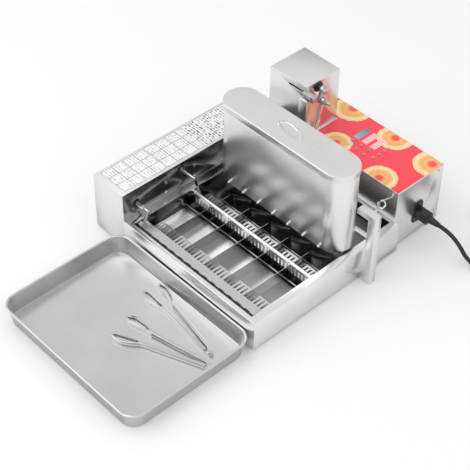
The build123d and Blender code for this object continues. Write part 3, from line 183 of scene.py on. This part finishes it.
jacket_rubber = moulded_finish("jacket_rubber", (0.012, 0.012, 0.013), 0.38, 0.55)
lead_diameter = 10 * mm
lead_points = [
    (0.3010, 0.3960, 0.0670), (0.3220, 0.3960, 0.0670), (0.3458, 0.3968, 0.0593),
    (0.3667, 0.3983, 0.0440), (0.3826, 0.4005, 0.0235), (0.4033, 0.4065, 0.0095),
    (0.4265, 0.4175, 0.0050), (0.4495, 0.4320, 0.0050), (0.4680, 0.4500, 0.0050),
]
coil_centre = (0.4241, 0.4952)
coil_turns = 3.377
coil_points_per_turn = 16
coil_start = math.radians(-45.8)
coil_radius = 58 * mm
tail_end = (0.3720, 0.5582, 0.0190)
for step in range(1, round(coil_turns * coil_points_per_turn) + 1):
    turns = step / coil_points_per_turn
    turn_angle = coil_start + turns * 2 * math.pi
    layer = min(max(turns - 1.85, 0.0) / 0.3, 1.0)
    ring = 0.5 * lead_diameter * math.cos(math.pi * min(max(turns - 0.85, 0.0) / 0.3, 1.0))
    back_out = lead_diameter * min(max(turns - 2.85, 0.0) / 0.3, 1.0)
    radius = coil_radius + ring + back_out
    lead_points.append((coil_centre[0] + radius * math.cos(turn_angle),
                        coil_centre[1] + radius * math.sin(turn_angle),
                        0.5 * lead_diameter + layer * lead_diameter))
last_x = lead_points[-1][0]
lead_points.append((last_x - 0.020, tail_end[1], 0.0155))
lead_points.append((tail_end[0] + 0.012, tail_end[1], 0.0185))
lead_points.append(tail_end)

lead_curve = bpy.data.curves.new("mains_lead", "CURVE")
lead_curve.dimensions = "3D"
lead_spline = lead_curve.splines.new("NURBS")
lead_spline.points.add(len(lead_points) - 1)
for point, place in zip(lead_spline.points, lead_points):
    point.co = (*place, 1.0)
lead_spline.order_u = 3
lead_spline.use_endpoint_u = True
lead_spline.resolution_u = 6
lead_curve.bevel_depth = lead_diameter / 2
lead_curve.bevel_resolution = 5
lead_curve.use_fill_caps = True
mains_lead = bpy.data.objects.new("mains_lead", lead_curve)
bpy.context.scene.collection.objects.link(mains_lead)
mains_lead.data.materials.append(jacket_rubber)
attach(mains_lead, "machine")
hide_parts("mains_cord", "cord_coil")

# ---- Plug and connector ----
# Moulded black rubbery plastic: a round two-pin plug with its tapered relief, and the connector
# with its own relief that is pushed into the inlet.


def dress(name, material):
    """Put a finish on a CAD node that is shown as it is."""
    node = nodes[name]
    node.data.materials.clear()
    node.data.materials.append(material)
    return node


def softened(name, material, width=0.4 * mm, segments=2, angle=35.0):
    """A copy of a CAD node with its triangles merged and its edges rounded, shown in its place."""
    bpy.ops.object.select_all(action="DESELECT")
    source = nodes[name]
    piece = source.copy()
    piece.data = source.data.copy()
    piece.name = name + "_sheet"
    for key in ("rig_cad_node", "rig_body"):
        if key in piece:
            del piece[key]
    piece.parent = None
    piece.data.materials.clear()
    piece.data.materials.append(material)
    bpy.context.scene.collection.objects.link(piece)
    piece.select_set(True)
    bpy.context.view_layer.objects.active = piece
    bpy.ops.object.mode_set(mode="EDIT")
    bpy.ops.mesh.select_all(action="SELECT")
    bpy.ops.mesh.remove_doubles(threshold=0.00001)
    bpy.ops.mesh.customdata_custom_splitnormals_clear()
    bpy.ops.mesh.dissolve_limited(angle_limit=math.radians(1.0))
    bpy.ops.object.mode_set(mode="OBJECT")
    rounding = piece.modifiers.new("edge_rounding", "BEVEL")
    rounding.width = width
    rounding.segments = segments
    rounding.limit_method = "ANGLE"
    rounding.angle_limit = math.radians(angle)
    rounding.harden_normals = False
    bpy.ops.object.modifier_apply(modifier=rounding.name)
    bpy.ops.object.shade_smooth_by_angle(angle=math.radians(angle))
    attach(piece, bodies_of[name])
    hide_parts(name)
    return piece


black_moulding = moulded_finish("black_moulding", (0.016, 0.016, 0.017), 0.33, 0.5, grain=1400.0)
plug = softened("mains_plug", black_moulding, 1.0 * mm, 3)
connector = softened("cord_connector", black_moulding, 1.2 * mm, 3)

# A flat rubber tie is pulled round the coil where its turns lie two by two, and squeezes them a little.
tie_width = 19.5 * mm
tie_depth = 5.0 * mm
tie_height = 20.6 * mm
tie_thickness = 0.9 * mm
tie_corner = 5.0 * mm
tie_inset = 0.3 * mm
tie_lift = 0.1 * mm
side_normal = 0.9
bpy.ops.object.select_all(action="DESELECT")
bpy.ops.mesh.primitive_cube_add(size=1.0)
coil_tie = bpy.context.active_object
coil_tie.name = "coil_tie"
bpy.ops.object.mode_set(mode="EDIT")
bpy.ops.mesh.select_mode(type="FACE")
bpy.ops.mesh.select_all(action="SELECT")
bpy.ops.transform.resize(value=(tie_width, tie_depth, tie_height), center_override=(0.0, 0.0, 0.0))
bpy.ops.transform.translate(
    value=(coil_centre[0] + coil_radius - tie_inset, coil_centre[1], tie_height / 2 + tie_lift))
bpy.ops.mesh.select_all(action="DESELECT")
bpy.ops.object.mode_set(mode="OBJECT")
for face in coil_tie.data.polygons:
    face.select = abs(face.normal.y) > side_normal
bpy.ops.object.mode_set(mode="EDIT")
bpy.ops.mesh.delete(type="FACE")
bpy.ops.object.mode_set(mode="OBJECT")
corners = coil_tie.modifiers.new("round_corners", "BEVEL")
corners.width = tie_corner
corners.segments = 5
strap = coil_tie.modifiers.new("strap_thickness", "SOLIDIFY")
strap.thickness = tie_thickness
strap.offset = -1.0
bpy.ops.object.modifier_apply(modifier=corners.name)
bpy.ops.object.modifier_apply(modifier=strap.name)
bpy.ops.object.shade_smooth_by_angle(angle=math.radians(35.0))
coil_tie.data.materials.append(jacket_rubber)
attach(coil_tie, "machine")

# ---- Sheet steel ----
# Most of the machine is folded stainless sheet with a fine brushed grain. The grain runs along
# the long side of each panel, and handling has left faint broad smears in the gloss.


def make_grain_group():
    """Brushed grain: streaked roughness, a streaked height and a slow smear of tone."""
    group, start, end = make_group(
        "brushed_grain",
        [("Vector", "NodeSocketVector", None), ("Streak", "NodeSocketVector", None),
         ("Low", "NodeSocketFloat", 0.2), ("High", "NodeSocketFloat", 0.4)],
        [("Roughness", "NodeSocketFloat"), ("Height", "NodeSocketFloat"), ("Tone", "NodeSocketFloat")])
    streaks = add_node(group, "ShaderNodeTexNoise")
    streaks.inputs["Scale"].default_value = 1.0
    streaks.inputs["Detail"].default_value = 5.0
    streaks.inputs["Roughness"].default_value = 0.65
    smear = add_node(group, "ShaderNodeTexNoise")
    smear.inputs["Scale"].default_value = 9.0
    smear.inputs["Detail"].default_value = 2.0
    blend = add_node(group, "ShaderNodeMath", operation="MULTIPLY_ADD")
    blend.inputs[1].default_value = 0.6
    spread = add_node(group, "ShaderNodeMapRange")
    spread.inputs["From Min"].default_value = 0.45
    spread.inputs["From Max"].default_value = 1.15
    group.links.new(start.outputs["Streak"], streaks.inputs["Vector"])
    group.links.new(start.outputs["Vector"], smear.inputs["Vector"])
    group.links.new(smear.outputs["Fac"], blend.inputs[0])
    group.links.new(streaks.outputs["Fac"], blend.inputs[2])
    group.links.new(blend.outputs["Value"], spread.inputs["Value"])
    group.links.new(start.outputs["Low"], spread.inputs["To Min"])
    group.links.new(start.outputs["High"], spread.inputs["To Max"])
    group.links.new(spread.outputs["Result"], end.inputs["Roughness"])
    group.links.new(streaks.outputs["Fac"], end.inputs["Height"])
    group.links.new(smear.outputs["Fac"], end.inputs["Tone"])
    return group


brushed_grain = make_grain_group()


def brushed_steel(name, color, low, high, along="X", relief=0.000015, fineness=1400.0):
    """Stainless sheet with its grain along one axis, between two roughnesses."""
    material, tree, shader = new_finish(name, color, metallic=1.0)
    stretch = [fineness, fineness, fineness]
    stretch["XYZ".index(along)] = 12.0
    grain = place_group(tree, brushed_grain, Low=low, High=high)
    tree.links.new(object_place(tree), grain.inputs["Vector"])
    tree.links.new(object_place(tree, tuple(stretch)), grain.inputs["Streak"])
    tone = add_node(tree, "ShaderNodeMixRGB")
    tone.inputs["Color1"].default_value = (*[0.9 * c for c in color], 1.0)
    tone.inputs["Color2"].default_value = (*[min(1.0, 1.07 * c) for c in color], 1.0)
    bump = add_node(tree, "ShaderNodeBump")
    bump.inputs["Distance"].default_value = relief
    tree.links.new(grain.outputs["Tone"], tone.inputs["Fac"])
    tree.links.new(tone.outputs["Color"], shader.inputs["Base Color"])
    tree.links.new(grain.outputs["Roughness"], shader.inputs["Roughness"])
    tree.links.new(grain.outputs["Height"], bump.inputs["Height"])
    tree.links.new(bump.outputs["Normal"], shader.inputs["Normal"])
    return material


sheet_steel = brushed_steel("sheet_steel", (0.80, 0.80, 0.79), 0.24, 0.36, "X")
cover_steel = brushed_steel("cover_steel", (0.80, 0.80, 0.79), 0.24, 0.36, "Y")
bright_steel = brushed_steel("bright_steel", (0.78, 0.78, 0.77), 0.06, 0.16, "Y", 0.000006)
# The dividers' steel is given a much darker colour, a painted shade inside the basin.
shaded_lane_steel = brushed_steel("shaded_lane_steel", (0.34, 0.34, 0.335), 0.12, 0.22, "Y", 0.000005)
comb_steel = brushed_steel("comb_steel", (0.66, 0.66, 0.65), 0.16, 0.28, "Y", 0.000006)
rod_steel = brushed_steel("rod_steel", (0.92, 0.92, 0.91), 0.2, 0.3, "X", 0.000004)
# The drive panel's dark grey colour is a painted dark reflection of the lanes below it.
dark_panel_steel = brushed_steel("dark_panel_steel", (0.27, 0.27, 0.27), 0.16, 0.26, "Y", 0.0000015)
hopper_steel = brushed_steel("hopper_steel", (0.83, 0.83, 0.82), 0.26, 0.34, "X")
# The hinge leaf's near-black colour is painted shade on its steel.
shaded_hinge = brushed_steel("shaded_hinge", (0.05, 0.05, 0.05), 0.4, 0.6, "X", 0.00002)

# The outfeed comb's front edge carries hinge knuckles, painted near black as painted shade.
knuckle_edge = -0.1160
strip_front = -0.1150
outfeed_steel = brushed_steel("outfeed_steel", (0.62, 0.62, 0.61), 0.16, 0.28, "X", 0.000006)
tree = outfeed_steel.node_tree
shader = tree.nodes["Principled BSDF"]
steel_color = shader.inputs["Base Color"].links[0].from_socket
where = add_node(tree, "ShaderNodeSeparateXYZ")
tree.links.new(object_place(tree), where.inputs["Vector"])
knuckles = add_node(tree, "ShaderNodeMapRange")
knuckles.inputs["From Min"].default_value = knuckle_edge
knuckles.inputs["From Max"].default_value = strip_front
# Painted shade: the near-black colour laid along the knuckles.
knuckle_shade = add_node(tree, "ShaderNodeMixRGB")
knuckle_shade.inputs["Color1"].default_value = (0.05, 0.05, 0.05, 1.0)
tree.links.new(where.outputs["Y"], knuckles.inputs["Value"])
tree.links.new(knuckles.outputs["Result"], knuckle_shade.inputs["Fac"])
tree.links.new(steel_color, knuckle_shade.inputs["Color2"])
tree.links.new(knuckle_shade.outputs["Color"], shader.inputs["Base Color"])

# The basin's inside is painted dark at both ends of its lanes as painted shade, and stays bright between
# them.
# Each shade edge is an axis, the two places it fades between, and whether its low side is shaded.
shaded_tank_steel = brushed_steel("shaded_tank_steel", (0.84, 0.84, 0.83), 0.14, 0.26, "Y", 0.000008)
tree = shaded_tank_steel.node_tree
shader = tree.nodes["Principled BSDF"]
steel_color = shader.inputs["Base Color"].links[0].from_socket
where = add_node(tree, "ShaderNodeSeparateXYZ")
tree.links.new(object_place(tree), where.inputs["Vector"])
bright_middle = (("Y", -0.064, -0.040, True), ("Y", 0.018, 0.040, False))
basin_limits = (
    ("Z", 0.0785, 0.0805, True), ("X", -0.1600, -0.1590, False), ("X", 0.2315, 0.2325, True),
    ("Y", -0.1260, -0.1250, False), ("Y", 0.3100, 0.3110, True),
)
shade_edges = []
for source, low_edge, high_edge, low_side_shaded in bright_middle + basin_limits:
    edge = add_node(tree, "ShaderNodeMapRange", interpolation_type="SMOOTHSTEP")
    edge.inputs["From Min"].default_value = low_edge
    edge.inputs["From Max"].default_value = high_edge
    edge.inputs["To Min"].default_value = 0.0 if low_side_shaded else 1.0
    edge.inputs["To Max"].default_value = 1.0 if low_side_shaded else 0.0
    tree.links.new(where.outputs[source], edge.inputs["Value"])
    shade_edges.append(edge.outputs["Result"])
unshaded_share = add_node(tree, "ShaderNodeMath", operation="MULTIPLY")
tree.links.new(shade_edges[0], unshaded_share.inputs[0])
tree.links.new(shade_edges[1], unshaded_share.inputs[1])
for outside_basin in shade_edges[len(bright_middle):]:
    either = add_node(tree, "ShaderNodeMath", operation="MAXIMUM")
    tree.links.new(unshaded_share.outputs["Value"], either.inputs[0])
    tree.links.new(outside_basin, either.inputs[1])
    unshaded_share = either
# Painted shade: this mix darkens the basin steel outside its bright middle.
basin_shade = add_node(tree, "ShaderNodeMixRGB")
basin_shade.inputs["Color1"].default_value = (0.17, 0.167, 0.16, 1.0)
tree.links.new(unshaded_share.outputs["Value"], basin_shade.inputs["Fac"])
tree.links.new(steel_color, basin_shade.inputs["Color2"])
tree.links.new(basin_shade.outputs["Color"], shader.inputs["Base Color"])

for name, finish in (
    ("oil_tank", shaded_tank_steel), ("base_plate", sheet_steel), ("left_housing", cover_steel),
    ("drive_panel", dark_panel_steel), ("control_box", sheet_steel), ("box_rear_panel", sheet_steel),
    ("tower_shell", sheet_steel), ("tower_front_plate", sheet_steel), ("hopper_rail", sheet_steel),
    ("hopper_bracket", sheet_steel), ("hopper_nozzles", bright_steel), ("hopper_shell", hopper_steel),
    ("lid", sheet_steel), ("lid_handle", bright_steel),
):
    softened(name, finish)

# ---- Lanes and flippers ----
# Five folded dividers on tie rods make six lanes. Two slotted combs turn in them, one on a round
# rod and one on a long hinge along the front wall, each bent from polished sheet.

for name, finish in (
    ("lane_dividers", shaded_lane_steel), ("hinge_leaf", shaded_hinge), ("outfeed_comb", outfeed_steel),
    ("middle_flipper_rod", rod_steel), ("middle_flipper_combs", comb_steel),
):
    softened(name, finish, 0.25 * mm, 1)
for name in (
    "middle_lever", "front_lever", "middle_link", "front_link", "tie_bar", "bell_bracket", "link_bar",
    "plungers", "plunger_lift_bar", "capillary_tube", "case_screws",
):
    softened(name, bright_steel, 0.3 * mm)

machined_steel = brushed_steel("machined_steel", (0.55, 0.55, 0.54), 0.22, 0.38, "Z", 0.00002)
for name in ("dosing_crank", "bell_crank", "dose_adjuster"):
    softened(name, machined_steel, 0.5 * mm)

dark_tube = brushed_steel("dark_tube", (0.22, 0.20, 0.19), 0.35, 0.5, "Y")
dress("heater_tubes", dark_tube)
motor_paint = moulded_finish("motor_paint", (0.05, 0.052, 0.055), 0.3, 0.45)
for name in ("flipper_gearmotor", "dosing_gearmotor"):
    dress(name, motor_paint)
for name in ("shaft_bushes", "power_inlet"):
    softened(name, black_moulding, 0.6 * mm)
foot_rubber = moulded_finish("foot_rubber", (0.02, 0.02, 0.02), 0.6, 0.8)
dress("rubber_feet", foot_rubber)

# ---- Printed overlay ----
# A glossy red film over the control box, printed with plain golden rings. Its windows and holes
# leave room for the displays, keys and lamps.


def make_ring_print_group():
    """One printed ring cake laid over the colour that comes in, round a centre."""
    group, start, end = make_group(
        "ring_print",
        [("Color", "NodeSocketColor", None), ("Vector", "NodeSocketVector", None),
         ("Centre", "NodeSocketVector", None), ("Radius", "NodeSocketFloat", 0.037)],
        [("Color", "NodeSocketColor")])
    offset = add_node(group, "ShaderNodeVectorMath", operation="SUBTRACT")
    flatten = add_node(group, "ShaderNodeVectorMath", operation="MULTIPLY")
    flatten.inputs[1].default_value = (1.0, 1.0, 0.0)
    distance = add_node(group, "ShaderNodeVectorMath", operation="LENGTH")
    share = add_node(group, "ShaderNodeMath", operation="DIVIDE")
    wobble = add_node(group, "ShaderNodeTexNoise")
    wobble.inputs["Scale"].default_value = 60.0
    wobble.inputs["Detail"].default_value = 6.0
    wobble.inputs["Roughness"].default_value = 0.7
    uneven = add_node(group, "ShaderNodeMath", operation="MULTIPLY_ADD")
    uneven.inputs[1].default_value = 0.24
    ramp = add_node(group, "ShaderNodeValToRGB")
    tones = ((0.0, (1.0, 0.04, 0.06, 1)), (0.30, (1.0, 0.07, 0.06, 1)), (0.36, (0.95, 0.30, 0.10, 1)),
             (0.50, (0.98, 0.52, 0.17, 1)), (0.66, (0.96, 0.40, 0.10, 1)), (0.80, (0.97, 0.55, 0.20, 1)),
             (0.92, (1.0, 0.80, 0.48, 1)), (1.0, (1.0, 0.66, 0.32, 1)))
    ramp.color_ramp.elements[0].position = tones[0][0]
    ramp.color_ramp.elements[0].color = tones[0][1]
    ramp.color_ramp.elements[1].position = tones[-1][0]
    ramp.color_ramp.elements[1].color = tones[-1][1]
    for position, color in tones[1:-1]:
        stop = ramp.color_ramp.elements.new(position)
        stop.color = color
    inside = add_node(group, "ShaderNodeMath", operation="LESS_THAN")
    inside.inputs[1].default_value = 1.12
    lay = add_node(group, "ShaderNodeMixRGB")
    group.links.new(start.outputs["Vector"], offset.inputs[0])
    group.links.new(start.outputs["Centre"], offset.inputs[1])
    group.links.new(offset.outputs["Vector"], flatten.inputs[0])
    group.links.new(flatten.outputs["Vector"], distance.inputs[0])
    group.links.new(distance.outputs["Value"], share.inputs[0])
    group.links.new(start.outputs["Radius"], share.inputs[1])
    group.links.new(start.outputs["Vector"], wobble.inputs["Vector"])
    group.links.new(wobble.outputs["Fac"], uneven.inputs[0])
    group.links.new(share.outputs["Value"], uneven.inputs[2])
    group.links.new(uneven.outputs["Value"], ramp.inputs["Fac"])
    group.links.new(uneven.outputs["Value"], inside.inputs[0])
    group.links.new(inside.outputs["Value"], lay.inputs["Fac"])
    group.links.new(start.outputs["Color"], lay.inputs["Color1"])
    group.links.new(ramp.outputs["Color"], lay.inputs["Color2"])
    group.links.new(lay.outputs["Color"], end.inputs["Color"])
    return group


ring_print = make_ring_print_group()
film_red = (1.0, 0.042, 0.075)
ring_places = (
    (-0.0425, 0.468, 0.048), (0.0175, 0.346, 0.038), (0.0990, 0.460, 0.044),
    (0.1695, 0.328, 0.042), (0.2190, 0.453, 0.046),
)
overlay_film, tree, shader = new_finish("overlay_film", film_red, roughness=0.22)
previous = None
place = object_place(tree)
for x, y, radius in ring_places:
    ring = place_group(tree, ring_print, Color=(*film_red, 1.0), Centre=(x, y, 0.0), Radius=radius)
    tree.links.new(place, ring.inputs["Vector"])
    if previous:
        tree.links.new(previous.outputs["Color"], ring.inputs["Color"])
    previous = ring
tree.links.new(previous.outputs["Color"], shader.inputs["Base Color"])
shader.inputs["Coat Weight"].default_value = 0.4
shader.inputs["Coat Roughness"].default_value = 0.08
softened("control_overlay", overlay_film, 0.1 * mm, 1)

def brick_grid(tree, place, width, height, line, smooth, **values):
    """A brick texture laid out in metres, used as a plain grid of cells or bars."""
    grid = add_node(tree, "ShaderNodeTexBrick", **values)
    grid.inputs["Scale"].default_value = 1.0
    grid.inputs["Brick Width"].default_value = width
    grid.inputs["Row Height"].default_value = height
    grid.inputs["Mortar Size"].default_value = line
    grid.inputs["Mortar Smooth"].default_value = smooth
    tree.links.new(place, grid.inputs["Vector"])
    return grid


# The first window is a grey liquid crystal, lighter at its front and darker at its back as a painted
# reflection, and the other two show rows of pale figure segments.
crystal_right_edge = 0.049
window_front = 0.3925
window_back = 0.4375
window_glass, tree, shader = new_finish("window_glass", (0.50, 0.56, 0.60), roughness=0.12)
where = add_node(tree, "ShaderNodeSeparateXYZ")
tree.links.new(object_place(tree), where.inputs["Vector"])
segments = brick_grid(tree, object_place(tree, shift=(-0.0530, -window_front, 0.0)),
                      0.0058, 0.0078, 0.0009, 0.2, offset=0.0, squash=1.0)
segments.inputs["Color1"].default_value = (1.0, 0.25, 0.30, 1.0)
segments.inputs["Color2"].default_value = (1.0, 0.36, 0.40, 1.0)
segments.inputs["Mortar"].default_value = (1.0, 0.86, 0.86, 1.0)
crystal = add_node(tree, "ShaderNodeMapRange")
crystal.inputs["From Min"].default_value = window_front
crystal.inputs["From Max"].default_value = window_back
# Painted reflection: the crystal's tone grades from a pale blue-grey at its front to dark at its back.
crystal_reflection = add_node(tree, "ShaderNodeValToRGB")
crystal_reflection.color_ramp.elements[0].color = (0.42, 0.47, 0.56, 1.0)
crystal_reflection.color_ramp.elements[1].color = (0.20, 0.24, 0.26, 1.0)
first = add_node(tree, "ShaderNodeMath", operation="GREATER_THAN")
first.inputs[1].default_value = crystal_right_edge
pick = add_node(tree, "ShaderNodeMixRGB")
tree.links.new(where.outputs["Y"], crystal.inputs["Value"])
tree.links.new(crystal.outputs["Result"], crystal_reflection.inputs["Fac"])
tree.links.new(where.outputs["X"], first.inputs[0])
tree.links.new(first.outputs["Value"], pick.inputs["Fac"])
tree.links.new(crystal_reflection.outputs["Color"], pick.inputs["Color1"])
tree.links.new(segments.outputs["Color"], pick.inputs["Color2"])
tree.links.new(pick.outputs["Color"], shader.inputs["Base Color"])
softened("display_windows", window_glass, 0.1 * mm, 1)
key_film = moulded_finish("key_film", (0.80, 0.22, 0.25), 0.25, 0.35)
for number in range(1, 9):
    softened(f"key_{number}", key_film, 0.2 * mm)
lamp_lens = moulded_finish("lamp_lens", (0.42, 0.55, 0.85), 0.15, 0.25)
softened("indicator_lights", lamp_lens, 0.25 * mm)

# The plate on the left housing is printed with plain tables and rows of grey bars, with no words.
# The tables are in front, with faint rows, and the bold rows are behind them.
table_back = 0.12
paper = (0.88, 0.88, 0.88, 1.0)
label_print, tree, shader = new_finish("label_print", (0.9, 0.9, 0.9), roughness=0.4)
place = object_place(tree, shift=(0.2725, 0.12, 0.0))
cells = brick_grid(tree, place, 0.0287, 0.0315, 0.0006, 0.1, offset=0.0, squash=1.0)
rows = brick_grid(tree, place, 0.0150, 0.0070, 0.0018, 0.1, offset=0.37, offset_frequency=3,
                  squash=0.7, squash_frequency=2)
rows.inputs["Color1"].default_value = (0.02, 0.02, 0.022, 1.0)
rows.inputs["Color2"].default_value = (0.30, 0.30, 0.31, 1.0)
rows.inputs["Mortar"].default_value = paper
cells.inputs["Color1"].default_value = (1.0, 1.0, 1.0, 1.0)
cells.inputs["Color2"].default_value = (1.0, 1.0, 1.0, 1.0)
cells.inputs["Mortar"].default_value = (0.15, 0.15, 0.16, 1.0)
blanks = add_node(tree, "ShaderNodeTexNoise")
blanks.inputs["Scale"].default_value = 1.0
blanks.inputs["Detail"].default_value = 1.0
blank_edge = add_node(tree, "ShaderNodeMath", operation="GREATER_THAN")
blank_edge.inputs[1].default_value = 0.55
print_rows = add_node(tree, "ShaderNodeMixRGB")
print_rows.inputs["Color2"].default_value = paper
where = add_node(tree, "ShaderNodeSeparateXYZ")
table_edge = add_node(tree, "ShaderNodeMath", operation="LESS_THAN")
table_edge.inputs[1].default_value = table_back
faint = add_node(tree, "ShaderNodeMath", operation="MULTIPLY")
faint.inputs[1].default_value = 0.62
faint_rows = add_node(tree, "ShaderNodeMixRGB")
faint_rows.inputs["Color2"].default_value = paper
table_lines = add_node(tree, "ShaderNodeMixRGB")
table_lines.inputs["Color1"].default_value = (1.0, 1.0, 1.0, 1.0)
ruled = add_node(tree, "ShaderNodeMixRGB", blend_type="MULTIPLY")
ruled.inputs["Fac"].default_value = 1.0
tree.links.new(object_place(tree, scale=(45.0, 260.0, 1.0)), blanks.inputs["Vector"])
tree.links.new(blanks.outputs["Fac"], blank_edge.inputs[0])
tree.links.new(object_place(tree), where.inputs["Vector"])
tree.links.new(where.outputs["Y"], table_edge.inputs[0])
tree.links.new(table_edge.outputs["Value"], faint.inputs[0])
tree.links.new(faint.outputs["Value"], faint_rows.inputs["Fac"])
tree.links.new(rows.outputs["Color"], faint_rows.inputs["Color1"])
tree.links.new(blank_edge.outputs["Value"], print_rows.inputs["Fac"])
tree.links.new(faint_rows.outputs["Color"], print_rows.inputs["Color1"])
tree.links.new(table_edge.outputs["Value"], table_lines.inputs["Fac"])
tree.links.new(cells.outputs["Color"], table_lines.inputs["Color2"])
tree.links.new(print_rows.outputs["Color"], ruled.inputs["Color1"])
tree.links.new(table_lines.outputs["Color"], ruled.inputs["Color2"])
tree.links.new(ruled.outputs["Color"], shader.inputs["Base Color"])
dress("housing_label", label_print)

# ---- Tray and tongs ----
tray_steel = brushed_steel("tray_steel", (0.66, 0.66, 0.655), 0.2, 0.26, "X", 0.000003)
softened("tray", tray_steel, 0.6 * mm)
tong_steel = brushed_steel("tong_steel", (0.60, 0.60, 0.59), 0.08, 0.16, "X", 0.000002)
for name in ("near_tong_a", "near_tong_b", "far_tong_a", "far_tong_b"):
    softened(name, tong_steel, 0.5 * mm)

# ---- Studio ----
# A plain pale floor under a soft white sky with two broad lamps.

bpy.ops.object.select_all(action="DESELECT")
bpy.ops.mesh.primitive_plane_add(size=30.0, location=(0.0, 0.0, -0.0005))
floor = bpy.context.active_object
floor.name = "studio_floor"
floor_paint, tree, shader = new_finish("floor_paint", (0.93, 0.93, 0.93), roughness=0.7)
floor.data.materials.append(floor_paint)

world = bpy.data.worlds.new("studio_sky")
world.use_nodes = True
bpy.context.scene.world = world
sky = world.node_tree
background = sky.nodes["Background"]
direction = add_node(sky, "ShaderNodeTexCoord")
split = add_node(sky, "ShaderNodeSeparateXYZ")
ramp = add_node(sky, "ShaderNodeValToRGB")
ramp.color_ramp.elements[0].position = 0.0
ramp.color_ramp.elements[0].color = (0.50, 0.50, 0.51, 1)
ramp.color_ramp.elements[1].position = 0.55
ramp.color_ramp.elements[1].color = (1.0, 1.0, 1.0, 1)
sky.links.new(direction.outputs["Generated"], split.inputs["Vector"])
sky.links.new(split.outputs["Z"], ramp.inputs["Fac"])
sky.links.new(ramp.outputs["Color"], background.inputs["Color"])
background.inputs["Strength"].default_value = 0.86
bpy.context.scene.view_settings.view_transform = "Standard"


def soft_lamp(name, place, aim, size, power):
    """A square area lamp at a place, turned towards a point."""
    data = bpy.data.lights.new(name, "AREA")
    data.energy = power
    data.size = size
    lamp = bpy.data.objects.new(name, data)
    lamp.location = place
    lamp.rotation_euler = (Vector(aim) - Vector(place)).to_track_quat("-Z", "Y").to_euler()
    bpy.context.scene.collection.objects.link(lamp)
    return lamp


soft_lamp("key_lamp", (-1.2, -1.6, 2.4), (0.0, 0.0, 0.1), 4.0, 40.0)
soft_lamp("fill_lamp", (2.0, 0.6, 1.8), (0.0, 0.0, 0.1), 3.0, 10.0)
